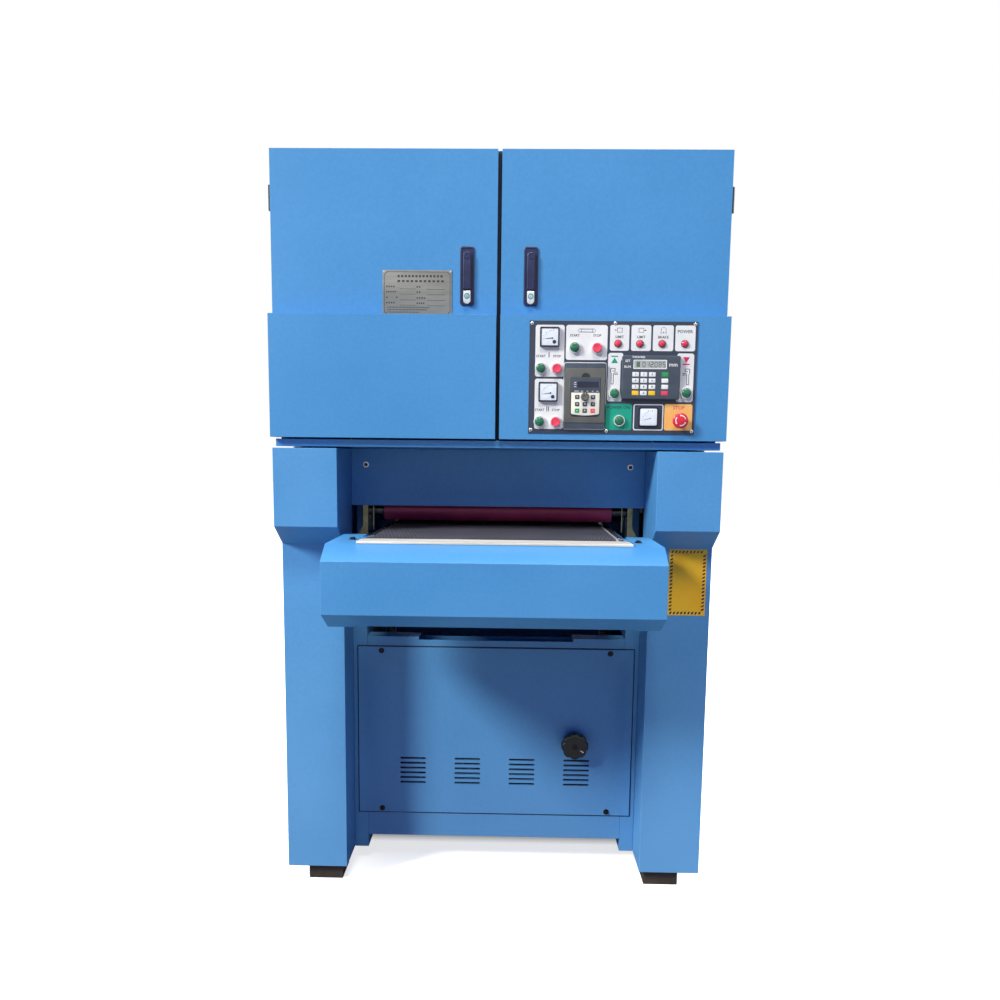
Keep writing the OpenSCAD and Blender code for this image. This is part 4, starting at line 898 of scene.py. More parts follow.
def makeStop():
    k = stopButton
    r, face = k["r"], plate["face"]
    x, z = onPlate(k["share"])
    top = k["stand"] + k["t"]
    shape = [(1, 8), (8, 10), (10, k["stand"]), (r - 0.8, k["stand"]), (r, k["stand"] + 0.8),
             (r, top - k["dome"])]
    shape += dome(r, top - k["dome"], k["dome"])
    stem = [(k["stemR"] - 0.4, -k["stem"]), (k["stemR"], 0.4 - k["stem"]), (k["stemR"], 8), (7.8, 9.8),
            (7, 10)]

    def mushroom(bm):
        lathe(bm, shape, (x, face, z), "front", 72, ripple=(36, 0.5, r - 0.4))

    def onDome(bm, a, radius):
        lift = top - k["dome"] + k["dome"] * math.sqrt(max(0, 1 - (radius / r) ** 2)) + 0.12
        place = (x + radius * math.cos(a), face - min(lift, top - 0.02), z + radius * math.sin(a))
        return bm.verts.new(Vector(place) * mm)

    def arrows(bm):
        low, high = k["arrow"]
        for start in (20, 140, 260):
            ring = []
            for i in range(11):
                widen = 0.8 * (10 - i) if i > 8 else 0  # the head of the arrow
                ring.append((math.radians(start + 8 * i), low - widen, high + widen))
            for (a, a0, a1), (b, b0, b1) in zip(ring, ring[1:]):
                bm.faces.new([onDome(bm, *spot) for spot in ((a, a0), (a, a1), (b, b1), (b, b0))])
    piece("stopMushroom", mushroom, stopRed, "emergency_stop", "button_red", ["emergency_stop"])
    piece("stopStem", lambda bm: lathe(bm, stem, (x, face, z), "front", 36), stemBlack, "emergency_stop")
    piece("stopArrows", arrows, printWhite, "emergency_stop", "button_red")


makeStop()

# indicator lamps: domed red lens in a dark seat
lamps = {"shares": ((0.528, 0.196), (0.658, 0.196), (0.790, 0.195), (0.925, 0.194)), "r": 9.4, "h": 7}


def makeLamps():
    r, base = lamps["r"], 2.6
    lens = [(r - 1.4, 0.3), (r - 1.4, base)] + dome(r - 1.4, base, lamps["h"] - 2.8,
                                                    (15, 30, 45, 60, 75, 86))
    seat = [(r, 0.3), (r, 1.8), (r - 0.5, 2.4), (r - 1.3, 2.4), (r - 1.3, 0.3)]

    def row(profile, ends):
        spots = [onPlate(share) for share in lamps["shares"]]
        return lambda bm: [lathe(bm, profile, (x, plate["face"], z), "front", 40, ends) for x, z in spots]
    piece("lampLenses", row(lens, "flat"), lampRed, "right_door", "lamp_red", ["indicator_lamps"])
    piece("lampSeats", row(seat, "ring"), meterBezel, "right_door", "lamp_red")


makeLamps()

# panel meters: two with a sunk dial, and the voltmeter with a raised one, each with ticks, a needle
# and a round cover over its pivot
meters = {"shares": ((0.120, 0.144), (0.116, 0.630), (0.722, 0.848)), "w": 48, "t": 9, "frame": 3.4,
          "voltDial": 41.5, "ticks": (22.5, 25.5, 27), "tickW": 0.6, "reach": 17.5, "needle": 19,
          "angles": (186, 188, 192)}


def makeMeters():
    k = meters
    w, face = k["w"], plate["face"]
    front = face - k["t"]
    dial = front + 1.6
    spots = [onPlate(s) for s in k["shares"]]
    ammeters, (vx, vz) = spots[:2], spots[2]
    clear = w - 2 * k["frame"]

    def bezels(bm):
        for x, z in ammeters:
            rim(bm, roundRect(x, z, w, w, 3), roundRect(x, z, clear, clear, 1.5), face - 0.3, front, 0.8)
        rim(bm, roundRect(vx, vz, w, w, 3), roundRect(vx, vz, w - 3, w - 3, 2), face - 0.3, front + 5, 0.5)

    def dials(bm):
        for x, z in ammeters:
            slab(bm, roundRect(x, z, clear + 1, clear + 1, 1.2), face - 0.5, dial, 0.2)
        slab(bm, roundRect(vx, vz, k["voltDial"], k["voltDial"], 3), face - 0.5, front, 1.0)

    def marks(bm):
        short, long = k["ticks"][1:]
        for i, (x, z) in enumerate(spots):
            y = dial - 0.02 if i < 2 else front
            for step in range(9):  # ticks along the upper arc of the scale, kept inside the dial
                a = math.radians(176 - step * 11)
                ends = (k["ticks"][0], short if step % 2 else long)
                nx, nz = -math.sin(a) * k["tickW"] / 2, math.cos(a) * k["tickW"] / 2
                corners = [(x + 8 + r * math.cos(a) + s * nx, z - 9 + r * math.sin(a) + s * nz)
                       for r, s in ((ends[0], 1), (ends[1], 1), (ends[1], -1), (ends[0], -1))]
                corners = [(min(max(px, x - k["reach"]), x + k["reach"]),
                            min(max(pz, z - k["reach"]), z + k["reach"])) for px, pz in corners]
                stack(bm, ((corners, y + 0.05), (corners, y - 0.06)))
            slab(bm, disc(x + 11.5, z - 12, 4.6, 28), y + 0.1, y - 0.35 if i < 2 else y + 0.02, 0.1)

    def needles(bm):
        for i, (x, z) in enumerate(spots):
            y = dial if i < 2 else front
            a = math.radians(k["angles"][i])
            tail, w = (x + 6, z - 3), 0.8
            tip = (tail[0] + k["needle"] * math.cos(a), tail[1] + k["needle"] * math.sin(a))
            corners = [(tail[0], tail[1] + w), (tip[0], tip[1] + 0.3), (tip[0], tip[1] - 0.3),
                       (tail[0], tail[1] - w)]
            stack(bm, ((corners, y + 0.05), (corners, y - (0.5 if i < 2 else 0.04))))
            if i < 2:
                slab(bm, disc(*tail, 2.0, 20), y + 0.05, y - 0.9, 0.3)
    piece("meterBezels", bezels, meterBezel, "right_door", "meter_body", ["panel_meters"])
    for name, build, material in (("meterDials", dials, meterFace), ("meterScales", marks, printInk),
                                  ("meterNeedles", needles, blackOxide)):
        piece(name, build, material, "right_door", "meter_body")


# pieces of the drive and the read-out
def onDoor(name, build, material, replaces=()):
    piece(name, build, material, "right_door", "device_grey", replaces)


def printOnDoor(name, outlines, face, material, height=0.1):
    prints(name, outlines, face, material, "right_door", "device_grey", height)


makeMeters()

# frequency drive: sunk grey front, keypad with a cream lower half, knob in its middle
drive = {"low": (0.212, 0.372), "high": (0.460, 0.956), "t": 11, "keypadLow": (0.252, 0.500),
         "keypadHigh": (0.427, 0.842), "notch": (0.340, 0.500), "split": 0.636, "knob": (0.336, 0.672),
         "front": (0.216, 0.418, 0.456, 0.904), "display": (0.290, 0.537, 0.417, 0.590),
         "rows": (0.675, 0.739, 0.797), "columns": (0.291, 0.337, 0.385), "key": (11.4, 10.6)}


def makeDrive():
    k = drive
    face, front = plate["face"], plate["face"] - k["t"]
    (kx0, kz1), (kx1, kz0) = onPlate(k["keypadLow"]), onPlate(k["keypadHigh"])
    mid, split = (kx0 + kx1) / 2, onPlate((0, k["split"]))[1]

    def seat(bm):  # dark joint round the keypad, and the finger notch above it drawn as a dark half disc: painted shade
        outline = roundRect(mid, (kz0 + kz1) / 2 - 1, kx1 - kx0 + 2.4, kz1 - kz0 + 3, (2, 2, 10, 10))
        slab(bm, outline, front + 1.5, front + 1.1, 0.2)
        (nx, nz), r = onPlate(k["notch"]), 11
        turns = [math.radians(a) for a in range(0, 181, 12)]
        arc = [(nx + r * math.cos(a), nz + r * math.sin(a)) for a in turns]
        stack(bm, ((arc, front + 1.5), (arc, front + 1.05)))

    def display(bm):
        outline = roundRect(mid, (kz1 + split) / 2, kx1 - kx0, kz1 - split, (2, 2, 0.3, 0.3))
        slab(bm, outline, front + 1.5, front + 0.2, 0.5)

    def creamOutline(inset=0.0):  # its lower edge bows down in the middle
        a, b, top, low = kx0 + 1.2 + inset, kx1 - 1.2 - inset, split - inset, kz0 + 4 + inset
        bow = [(a + 1.6 + (b - a - 3.2) * i / 10, low - 3.4 * math.sin(math.pi * i / 10))
               for i in range(11)]
        return [(b, low + 3), (b, top), (a, top), (a, low + 3)] + bow

    def shell(bm):
        slab(bm, field(*k["low"], *k["high"], 4), face - 0.2, front + 2.4, 1.6, 4)

    def sunkFront(bm):
        slab(bm, field(*k["front"], 2), front + 2.8, front + 1.2, 0.7)
    onDoor("driveShell", shell, deviceDark, ["inverter_keypad"])
    onDoor("driveFront", sunkFront, deviceGrey)
    onDoor("driveJointAndNotchShade", seat, printInk)
    onDoor("driveDisplayFront", display, deviceDark)
    onDoor("driveKeypadFront", lambda bm: slab(bm, creamOutline, front + 1.5, front, 0.7), keypadCream)
    printOnDoor("driveDisplay", [field(*k["display"], 1)], front + 0.2, meterBezel)
    labels = [(0.277, y, 5, 1.5) for y in (0.545, 0.562, 0.583)]
    labels += [(x, 0.622, w, 1.3) for x, w in ((0.287, 12), (0.318, 6), (0.350, 5), (0.382, 5), (0.410, 5))]
    printOnDoor("driveMarks", [roundRect(*onPlate((x, y)), w, h, 0.3) for x, y, w, h in labels],
                front + 0.2, printWhite)
    keys = {"dark": [], "green": [], "red": []}
    for j, y in enumerate(k["rows"]):
        for i, x in enumerate(k["columns"]):
            colour = {(0, 2): "green", (2, 2): "red"}.get((i, j), "dark")
            if (i, j) != (1, 0):  # the knob sits there
                keys[colour].append(onPlate((x, y)))
    for colour, finish in (("dark", keyDark), ("green", keyGreen), ("red", keyRed)):
        outlines = [roundRect(x, z, *k["key"], 2) for x, z in keys[colour]]

        def keySet(bm):
            for outline in outlines:
                slab(bm, outline, front + 0.6, front - 0.3, 0.3)
        onDoor("driveKeys" + colour.capitalize(), keySet, finish)
    bars = [roundRect(x, z, 4.6, 1.0, 0.3) for spots in keys.values() for x, z in spots]
    bars += [roundRect(x, z + 2, 2.6, 1.0, 0.3) for x, z in keys["dark"]]
    printOnDoor("driveKeyMarks", bars, front - 0.3, printWhite, 0.08)

    x, z = onPlate(k["knob"])
    knob = [(10.5, 0.3), (10.5, 2.5), (9.6, 3.2), (9.6, 10.2), (9.2, 11.4), (8.2, 12), (6.4, 12),
            (5.8, 11.6), (1, 11.5)]

    def knobBody(bm):
        lathe(bm, knob, (x, front, z), "front", 72, ripple=(24, 0.35, 9.5))
        lathe(bm, rod(3, 0, 6.4, 0.2), (x, front - 0.4, z), "back", 24)
    piece("driveKnob", knobBody, deviceGrey, "speed_knob", "knob_black", ["inverter_knob"])
    prints("driveKnobMark", [roundRect(x, z + 7.2, 1.0, 3.6, 0.3)], front - 12, printWhite, "speed_knob",
           height=0.12)


makeDrive()

# thickness read-out: slate front, display, membrane keys
readout = {"low": (0.554, 0.303), "high": (0.901, 0.689), "t": 12, "windowLow": (0.620, 0.341),
           "windowHigh": (0.819, 0.422), "rows": (0.469, 0.524, 0.579, 0.634),
           "columns": (0.635, 0.684, 0.734, 0.810), "key": (16.4, 10.6), "digitX": 26, "digitPitch": 9.9,
           "digitHalf": (2.8, 5.8), "signalX": 12}


def makeReadout():
    k = readout
    front = plate["face"] - k["t"]
    y = front + 0.6
    (a, b), (c, d) = onPlate(k["windowLow"]), onPlate(k["windowHigh"])
    mx, mz = (a + c) / 2, (b + d) / 2

    def window(bm):
        inner = roundRect(mx, mz, c - a - 4, b - d - 4, 1)
        rim(bm, roundRect(mx, mz, c - a, b - d, 2.4), inner, y + 0.1, y - 0.5, 0.2)

    def shell(bm):
        slab(bm, field(*k["low"], *k["high"], 4), plate["face"] - 0.2, y, 2.2, 5)
    onDoor("readoutShell", shell, deviceDark, ["thickness_readout"])
    onDoor("readoutWindow", window, printWhite)
    printOnDoor("readoutDisplay", [roundRect(mx, mz, c - a - 3, b - d - 3, 1)], y, lcdGlass)
    # bars of each digit, and where each bar lies: across, up, and whether it is a level one
    digits = {"0": "abcdef", "1": "bc", "2": "abged", "5": "afgcd", "8": "abcdefg"}
    place = {"a": (0, 1, 1), "g": (0, 0, 1), "d": (0, -1, 1),
             "f": (-1, 0.5, 0), "b": (1, 0.5, 0), "e": (-1, -0.5, 0), "c": (1, -0.5, 0)}
    segments = []
    for i, digit in enumerate("012085"):
        for across, up, level in (place[bar] for bar in digits[digit]):
            w, h = (5.0, 1.4) if level else (1.4, 5.2)
            x = a + k["digitX"] + i * k["digitPitch"] + across * k["digitHalf"][0]
            segments.append(roundRect(x, mz + up * k["digitHalf"][1], w, h, 0.3))
    printOnDoor("readoutDigits", segments, y - 0.1, printInk, 0.06)
    printOnDoor("readoutSignal", [roundRect(a + k["signalX"], mz, 9, 13, 0.6)], y - 0.1, lcdMark, 0.06)
    rows, columns = k["rows"], k["columns"]
    special = {(0, 3): "yellow", (2, 3): "yellow", (3, 0): "green", (3, 3): "red"}
    keys = {"white": [], "yellow": [], "green": [], "red": []}
    for j, down in enumerate(rows):
        for i, across in enumerate(columns):
            keys[special.get((i, j), "white")].append(roundRect(*onPlate((across, down)), *k["key"], 1.2))
    for colour, finish in (("white", printWhite), ("yellow", printYellow), ("green", keyGreen),
                           ("red", keyRed)):

        def keySet(bm):
            for outline in keys[colour]:
                slab(bm, outline, y + 0.1, y - 0.35, 0.25, 2)
        onDoor("readoutKeys" + colour.capitalize(), keySet, finish)
    spots = [(across, down) for down in rows[:3] for across in columns[:3]] + [(columns[1], rows[3])]
    figures = [(figure, spot, 5) for figure, spot in zip("1234567890", spots)]
    lettering("readoutKeyDigits", onPlateWords(figures), y - 0.35, printInk, "right_door", "device_grey")
    words = [("mm", (0.857, 0.382), 10.5), ("SET", (0.586, 0.352), 6), ("RUN", (0.586, 0.404), 6),
             ("THICKNESS", (0.650, 0.318), 4.6)]
    lettering("readoutLettering", onPlateWords(words), y, printWhite, "right_door", "device_grey")


makeReadout()
print("controls made")

# hand knob on the lower panel: eight shallow lobes, a white pointer line, a dark cap over its screw
handKnob = {"x": 228, "z": 368, "r": 38, "front": -343.6, "back": -317.6, "seat": -303.6, "lobes": 8,
            "dip": 3.6, "dipWidth": 7.5, "pointer": (18, 29), "pointerW": 2.8, "pointerAngle": -33}


def makeHandKnob():
    k = handKnob
    cx, cz, front = k["x"], k["z"], k["front"]

    def lobed(inset):
        points = []
        pitch = 360 / k["lobes"]
        for i in range(160):
            a = 2 * math.pi * i / 160
            # how far the rim dips, by the angle to the middle of the nearest hollow
            off = abs(((math.degrees(a) / pitch) % 1) - 0.5) * pitch
            r = k["r"] - k["dip"] * math.exp(-(off / k["dipWidth"]) ** 2) - inset
            points.append((cx + r * math.cos(a), cz + r * math.sin(a)))
        return points

    def body(bm):
        steps = ((1.5, k["back"]), (0.3, k["back"] - 1.2), (0, k["back"] - 3), (0, front + 5),
                 (0.8, front + 2.6), (2.6, front + 0.9), (5, front + 0.1), (8, front))
        stack(bm, [(lobed(inset), y) for inset, y in steps])
        lathe(bm, [(19, 0), (19, 12), (17, 14.2)], (cx, k["seat"], cz), "front", 48)
        lathe(bm, rod(6, 0, 28.8, 0.3), (cx, k["seat"] - 0.4, cz), "back", 24)

    def cap(bm):
        lathe(bm, [(8.5, 0), (8.5, 0.3), (7, 0.38), (1, 0.4)], (cx, front + 0.2, cz), "front", 36)
    piece("handKnobBody", body, knobBlack, "panel_knob", "knob_black", ["hand_knob"])
    a, half, (near, far) = math.radians(k["pointerAngle"]), k["pointerW"] / 2, k["pointer"]
    line = [(cx + r * math.cos(a) - s * half * math.sin(a), cz + r * math.sin(a) + s * half * math.cos(a))
            for r, s in ((near, 1), (near, -1), (far, -1), (far, 1))]
    prints("handKnobPointer", [line], front + 0.05, printWhite, "panel_knob", "knob_black", 0.2)
    piece("handKnobCap", cap, blackOxide, "panel_knob", "knob_black")


makeHandKnob()

# painted shade: dark rims at the slots of the lower panel; pressed lips at the vents of the flanks
louvres = {"x": (-235.5, -78.5, 78.5, 235.5), "z": 242, "rows": 6, "pitch": 14.4, "w": 72, "h": 4,
           "face": -303.3}
sideVents = {"y": (-75, 241), "z": 263.5, "rows": 8, "pitch": 16, "w": 109, "h": 4.6, "face": 570}


def makeLouvres():
    def edges(bm):
        k = louvres
        for x in k["x"]:
            for j in range(k["rows"]):
                z = k["z"] + j * k["pitch"]
                outer = roundRect(x, z, k["w"] + 2.0, k["h"] + 2.0, 3.0)
                inner = roundRect(x, z, k["w"] + 0.2, k["h"] + 0.2, 2.1)
                rim(bm, outer, inner, k["face"] + 0.2, k["face"] - 0.35, 0.15)

    def lips(bm):
        k = sideVents
        spots = [(s, y, k["z"] + i * k["pitch"]) for s in (-1, 1) for y in k["y"] for i in range(k["rows"])]
        for s, y, z in spots:
            outer = roundRect(y, z, k["w"] + 8, k["h"] + 6.4, 5.4)
            inner = roundRect(y, z, k["w"], k["h"], 2.2)
            stations = ((outer(0), -1), (outer(0.4), 0.7), (outer(1.6), 1.4), (inner(-0.5), 1.4),
                        (inner(0), -1))
            loft(bm, [[(s * (k["face"] + x), py, pz) for py, pz in points] for points, x in stations],
                 "ring")
    piece("louvreShadeRims", edges, slotShadeRim, "machine")
    piece("sideVentLips", lips, frameCoat, "machine", "blue_coat")


makeLouvres()

# painted shadow: a thin dark strip that shows as a dark line round the lower panel, where its shadow gap is
panelShadowLine = {"w": 783, "low": 151, "high": 641, "show": 3, "hide": 4, "y": -300.0, "t": 1.4}


def makePanelShadowLine():
    k = panelShadowLine
    z, h = (k["low"] + k["high"]) / 2, k["high"] - k["low"]
    outer = roundRect(0, z, k["w"] + 2 * k["show"], h + 2 * k["show"], 3)
    inner = roundRect(0, z, k["w"] - 2 * k["hide"], h - 2 * k["hide"], 1)
    piece("panelShadowLine", lambda bm: rim(bm, outer, inner, k["y"] - 0.02, k["y"] - k["t"], 0.3),
          gasketRubberAndShade, "machine")


makePanelShadowLine()

# bead of dark sealant that fills the 0.3 mm seam between each post and its column cover
columnBead = {"x": (406.0, 406.3), "y": (-300.2, -298.0), "z": (70.0, 1214.0)}


def makeColumnBeads():
    k = columnBead

    def build(bm):
        for s in (-1, 1):
            low, high = sorted(s * x for x in k["x"])
            block(bm, (low, k["y"][0], k["z"][0]), (high, k["y"][1], k["z"][1]), 0.05)
    piece("columnBeads", build, gasketRubberAndShade, "machine")


makeColumnBeads()

# yellow notice on the right leg: bare, with a common hatched border
notice = {"x": 507.5, "z": 855.5, "w": 99, "h": 177, "face": -432.0, "t": 0.3, "border": 9, "pitch": 9.6}


def makeNotice():
    k = notice
    y, edge, dash, lean = k["face"] - k["t"], k["border"] - 2, k["pitch"] * 0.52, 3
    left, right = k["x"] - k["w"] / 2 + 3, k["x"] + k["w"] / 2 - 3
    low, high = k["z"] - k["h"] / 2 + 3, k["z"] + k["h"] / 2 - 3
    dashes = []
    x = left + 1
    while x + dash + lean < right:
        for z in (low, high - edge):
            dashes.append([(x, z), (x + dash, z), (x + dash + lean, z + edge), (x + lean, z + edge)])
        x += k["pitch"]
    z = low + k["border"]
    while z + dash + lean < high - k["border"]:
        for x in (left, right - edge):
            dashes.append([(x, z), (x + edge, z + lean), (x + edge, z + lean + dash), (x, z + dash)])
        z += k["pitch"]

    def sheet(bm):
        slab(bm, roundRect(k["x"], k["z"], k["w"], k["h"], 1.5), k["face"] + 0.02, y, 0.1, 1)
    piece("noticeSheet", sheet, labelYellow, "machine")
    prints("noticeHatching", dashes, y, printInk, "machine", height=0.08)


makeNotice()

# feed belt: one smooth loop round its rollers
feedBelt = {"y": 612, "z": 943, "r": 40, "t": 3, "w": 600}


# a belt of thickness t round two rollers, each given by its y, z and radius, between x0 and x1
def beltLoop(bm, first, second, t, x0, x1, steps=40):
    (y1, z1, r1), (y2, z2, r2) = first, second
    ang = math.atan2(z2 - z1, y2 - y1)
    gap = math.acos((r1 - r2) / math.dist((y1, z1), (y2, z2)))
    arcs = ((y2, z2, r2, ang - gap, 2 * gap), (y1, z1, r1, ang + gap, 2 * math.pi - 2 * gap))

    def ring(extra):
        points = []
        for y, z, r, start, sweep in arcs:
            turns = [start + sweep * i / steps for i in range(steps + 1)]
            points += [(y + (r + extra) * math.cos(a), z + (r + extra) * math.sin(a)) for a in turns]
        return points
    edge = t * 0.2
    stations = ((ring(0), x0), (ring(t - edge), x0), (ring(t), x0 + edge), (ring(t), x1 - edge),
                (ring(t - edge), x1), (ring(0), x1))
    loft(bm, [[(x, y, z) for y, z in points] for points, x in stations], "ring")


def makeFeedBelt(bm):
    k = feedBelt
    beltLoop(bm, (-k["y"], k["z"], k["r"]), (k["y"], k["z"], k["r"]), k["t"], -k["w"] / 2, k["w"] / 2)


piece("feedBeltLoop", makeFeedBelt, beltRubber, "table", "feed_belt_rubber", ["conveyor_belt"])

# two abrasive belts, each round its contact roller and tension roller
heads = {"y": (-82, 248), "contactZ": 1073.5, "contactR": 70.3, "tensionZ": 1646.5, "tensionR": 50.3,
         "t": 1.2, "w": 610}


def makeAbrasiveBelts(bm):
    k = heads
    for y in k["y"]:
        beltLoop(bm, (y, k["contactZ"], k["contactR"]), (y, k["tensionZ"], k["tensionR"]), k["t"],
                 -k["w"] / 2, k["w"] / 2)


piece("abrasiveBelts", makeAbrasiveBelts, abrasiveCloth, "machine", "abrasive_cloth", ["abrasive_belts"])

# table trim: stainless entry plates, cover screws, belt tension tabs
trim = {"entryW": 645, "entryD": 70, "entryLow": 979.3, "entryTop": 985, "entryY": -724, "corner": 17.5,
        "boltX": 347, "boltY": 627, "boltZ": 979, "tabX": 324, "tabY": 589, "tabZ": 978.3,
        "tabSize": (12, 34, 6), "studY": (589, 640)}


def makeTrim():
    k = trim
    low, high = k["entryLow"], k["entryTop"]
    shape = roundRect(0, k["entryY"] + k["entryD"] / 2, k["entryW"], k["entryD"],
                      (k["corner"], k["corner"], 1, 1), 8)
    washer = [(4, 0.3), (9.2, 0.3), (9.2, 1.8), (8.8, 2.3), (4, 2.4)]
    bolt = [(6, 1.2), (6, 5.2), (5.4, 6.0), (3.2, 6.0), (3.0, 3.2), (0.4, 3.0)]
    steps = ((0.5, low), (0, low + 0.5), (0, high - 1.2), (0.4, high - 0.3), (1.2, high))

    def entries(bm):
        for s in (1, -1):
            loft(bm, [[(x, s * y, z) for x, y in shape(inset)] for inset, z in steps])

    def fours(profile, count):
        return lambda bm: [lathe(bm, profile, (sx * k["boltX"], sy * k["boltY"], k["boltZ"]), "z", count)
                           for sx, sy in signs]

    def tabs(bm):
        for sx, sy in signs:
            middle = (sx * k["tabX"], -sy * k["tabY"], k["tabZ"])
            low, high = ([m + s * w / 2 for m, w in zip(middle, k["tabSize"])] for s in (-1, 1))
            block(bm, low, high, 1.0)

    def studs(bm):
        near, far = k["studY"]
        for sx, sy in signs:
            start = (sx * k["tabX"], -far if sy < 0 else near, k["tabZ"])
            lathe(bm, rod(3, 0, far - near, 0.5), start, "back", 20)
    piece("entryPlates", entries, stainless, "table", "stainless", ["table_trim"])
    piece("coverWashers", fours(washer, 40), blackOxide, "table", "stainless")
    piece("coverBolts", fours(bolt, 36), blackOxide, "table", "black_oxide")
    piece("tensionTabs", tabs, coat, "table", "blue_coat")
    piece("tensionStuds", studs, blackOxide, "table", "black_oxide")


makeTrim()

# screws of the guard and the lower panel
panelScrews = {"guard": ((365, 1155),), "panel": ((325, 162), (325, 630)), "face": -303.3}


def makePanelScrews():
    k = panelScrews
    socket = [(5, 1.2), (5, 4.1), (4.5, 4.7), (2.8, 4.7), (2.6, 2.4), (0.3, 2.2)]
    washer = [(3, 0.3), (8, 0.3), (8, 0.9), (7.7, 1.2), (3, 1.25)]

    def pairs(profile, places, count):
        spots = [(s * x, k["face"], z) for x, z in places for s in (-1, 1)]
        return lambda bm: [lathe(bm, profile, spot, "front", count) for spot in spots]
    piece("guardWashers", pairs(washer, k["guard"], 36), zincSteel, "machine", "stainless",
          ["frame_screws"])
    piece("panelWashers", pairs(washer, k["panel"], 36), blackOxide, "machine", "black_oxide")
    piece("socketScrews", pairs(socket, k["guard"] + k["panel"], 32), blackOxide, "machine", "black_oxide")


makePanelScrews()

# red press rollers: rubber sleeves with chamfered ends, on oiled shafts
pressRoller = {"y": {"front": -262, "rear": 428}, "z": 1028, "r": 28, "half": 320, "shaftR": 12,
               "shaftHalf": 379.7}


def makePressRollers():
    k = pressRoller
    r, h, t, s = k["r"], k["half"], k["shaftR"], k["shaftHalf"]
    sleeve = [(12.2, -h), (r - 2, -h), (r, -h + 2), (r, h - 2), (r - 2, h), (12.2, h)]
    shaft = [(2, -s + 2), (2.6, -s), (t - 1.2, -s), (t, -s + 1.2), (t, s - 1.2), (t - 1.2, s), (2.6, s),
             (2, s - 2)]
    for end, y in k["y"].items():
        body = end + "_press_roller"
        for name, shape, count, finish, slot, replaces in (
                ("PressSleeve", sleeve, 64, pressRubber, "press_rubber", [body]),
                ("PressShaft", shaft, 40, oiledSteel, "roller_steel", [])):
            piece(end + name, lambda bm: lathe(bm, shape, (0, y, k["z"]), "x", count), finish, body, slot,
                  replaces)


makePressRollers()
print("rollers, belts and trim made")


# white room: the background is white to the eye, and lights the machine a little
room = {"ambient": ("#507CFF", 0.28), "floorR": 30, "floorZ": -0.0005, "seen": 0.9, "thrown": 0.25,
        "glow": (0.74, 1.0), "glowReach": (1.5, 7.0), "base": (("X", 0.0, 0.50, 0.56),
                                                               ("Y", 0.17, 0.26, 0.34))}
# each light: its place and target in m, its size in m, its power in W and its tint
lights = {"farLeftLight": ((-9.85, -6.79, 8.52), (0, -0.4, 0.9), 3.2, 2300, (1.0, 1.0, 0.93)),
          "highFrontLight": ((0, -7.4, 13.0), (0, -0.4, 0.9), 3.2, 960, (1.0, 0.98, 0.82)),
          "overheadLight": ((0.3, -0.9, 14.0), (0.3, -0.9, 0), 3.0, 230, (1.0, 1.0, 0.95)),
          "rightLight": ((9.0, 1.5, 6.0), (0.3, 0, 1.0), 3.0, 700, (1, 1, 0.96)),
          "rearLight": ((1.5, 5.2, 5.2), (0, 0.4, 1.0), 3.0, 300, (1, 1, 1))}


def makeWorld():
    world = bpy.data.worlds.new("whiteRoom")
    bpy.context.scene.world = world
    world.use_nodes = True
    tree = world.node_tree
    tree.nodes.clear()
    path = addNode(tree, "LightPath").outputs
    seen = compute(tree, "MAXIMUM", path["Is Camera Ray"], path["Is Glossy Ray"])
    clear = compute(tree, "MAXIMUM", seen, path["Is Transmission Ray"])
    colour, strength = room["ambient"]
    ambient = addNode(tree, "Background", {"Color": linear(colour), "Strength": strength})
    white = addNode(tree, "Background", {"Color": (1, 1, 1, 1), "Strength": 1.0})
    both = addNode(tree, "MixShader", {0: clear, 1: ambient.outputs[0], 2: white.outputs[0]})
    addNode(tree, "OutputWorld", {0: both.outputs[0]})


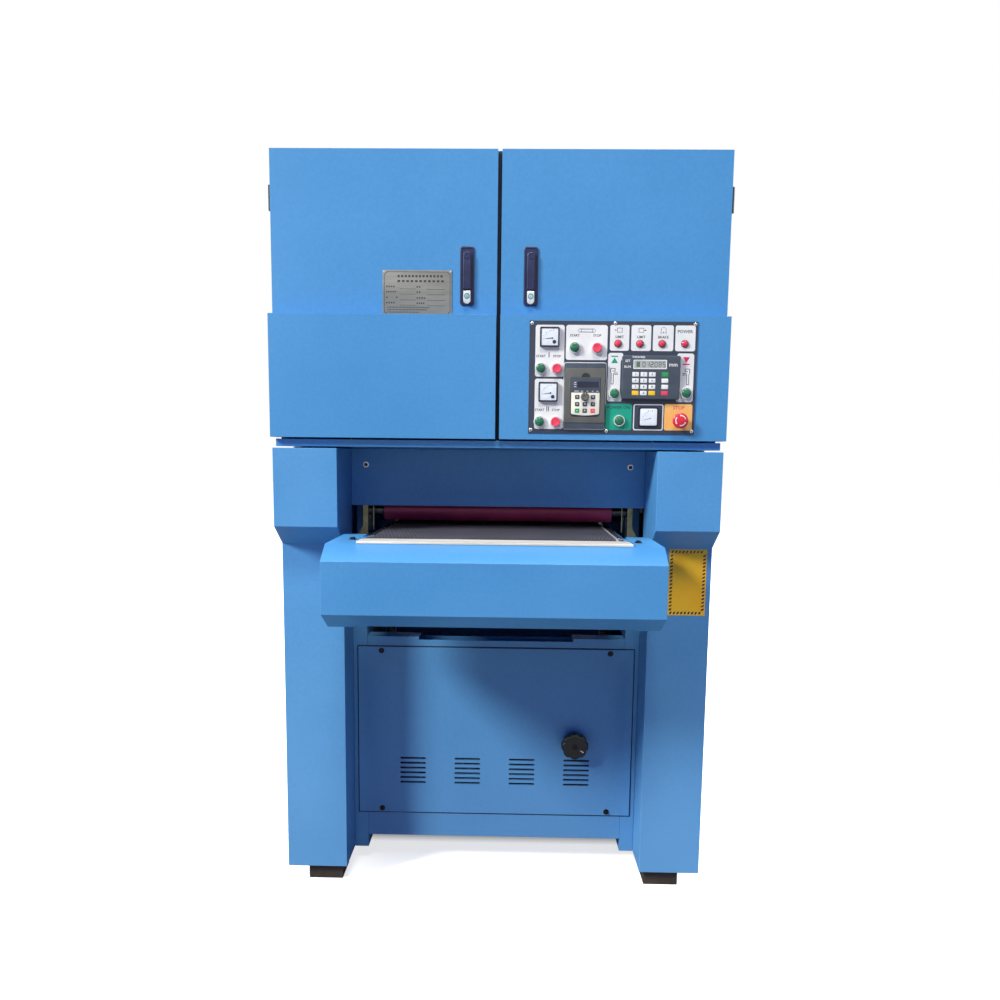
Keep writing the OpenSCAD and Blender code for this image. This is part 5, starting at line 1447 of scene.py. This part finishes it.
# pale floor: lit enough to look white, still darker where the machine shades it
def makeFloor():
    material, tree, shader = startMaterial("paintedStudioFloor")
    toEye = addNode(tree, "LightPath").outputs["Is Camera Ray"]
    # to the eye it is white; it throws back only a part of its light, as a concrete floor does
    thrown, shown = ((*[room[key]] * 3, 1) for key in ("thrown", "seen"))
    feed(tree, shader, {"Roughness": 0.9, "Specular IOR Level": 0.0,
                        "Base Color": mix(tree, toEye, thrown, shown)})
    # it glows more with distance from the machine, where the lights give out
    spot = objectPlace(tree)
    far = addNode(tree, "VectorMath", {"operation": "LENGTH", 0: spot}).outputs["Value"]
    strength = span(tree, far, *room["glow"], *room["glowReach"])
    # no glow inside the machine's base, so that nothing bright is seen through its slots
    away = []
    for axis, middle, near, clear in room["base"]:
        offset = compute(tree, "ABSOLUTE", compute(tree, "SUBTRACT", parted(tree, spot)[axis], middle))
        away.append(span(tree, offset, 0.0, 1.0, near, clear))
    outdoors = compute(tree, "MULTIPLY", strength, compute(tree, "MAXIMUM", *away))
    glow = addNode(tree, "Emission", {"Color": (1, 1, 1, 1), 1: compute(tree, "MULTIPLY", outdoors, toEye)})
    total = addNode(tree, "AddShader", {0: shader.outputs[0], 1: glow.outputs[0]})
    out = [n for n in tree.nodes if n.type == "OUTPUT_MATERIAL"][0]
    tree.links.new(total.outputs[0], out.inputs[0])
    bm = bmesh.new()
    turns = [2 * math.pi * i / 64 for i in range(64)]
    r = room["floorR"]
    bm.faces.new([bm.verts.new((r * math.cos(a), r * math.sin(a), room["floorZ"])) for a in turns])
    mesh = bpy.data.meshes.new("studioFloor")
    bm.to_mesh(mesh)
    bm.free()
    mesh.materials.append(material)
    floor = bpy.data.objects.new("studioFloor", mesh)
    bpy.context.scene.collection.objects.link(floor)


# a strong light from the left as in the photo, a weaker high one in front, and others for the top,
# right and rear
def makeLights():
    for name, (place, target, size, power, tint) in lights.items():
        data = bpy.data.lights.new(name, "AREA")
        data.shape, data.size, data.energy, data.color = "DISK", size, power, tint
        lamp = bpy.data.objects.new(name, data)
        bpy.context.scene.collection.objects.link(lamp)
        lamp.location = place
        lamp.rotation_euler = (Vector(target) - Vector(place)).to_track_quat("-Z", "Y").to_euler()


makeWorld()
makeFloor()
makeLights()
bpy.context.scene.view_settings.view_transform = "Standard"
print("room made")
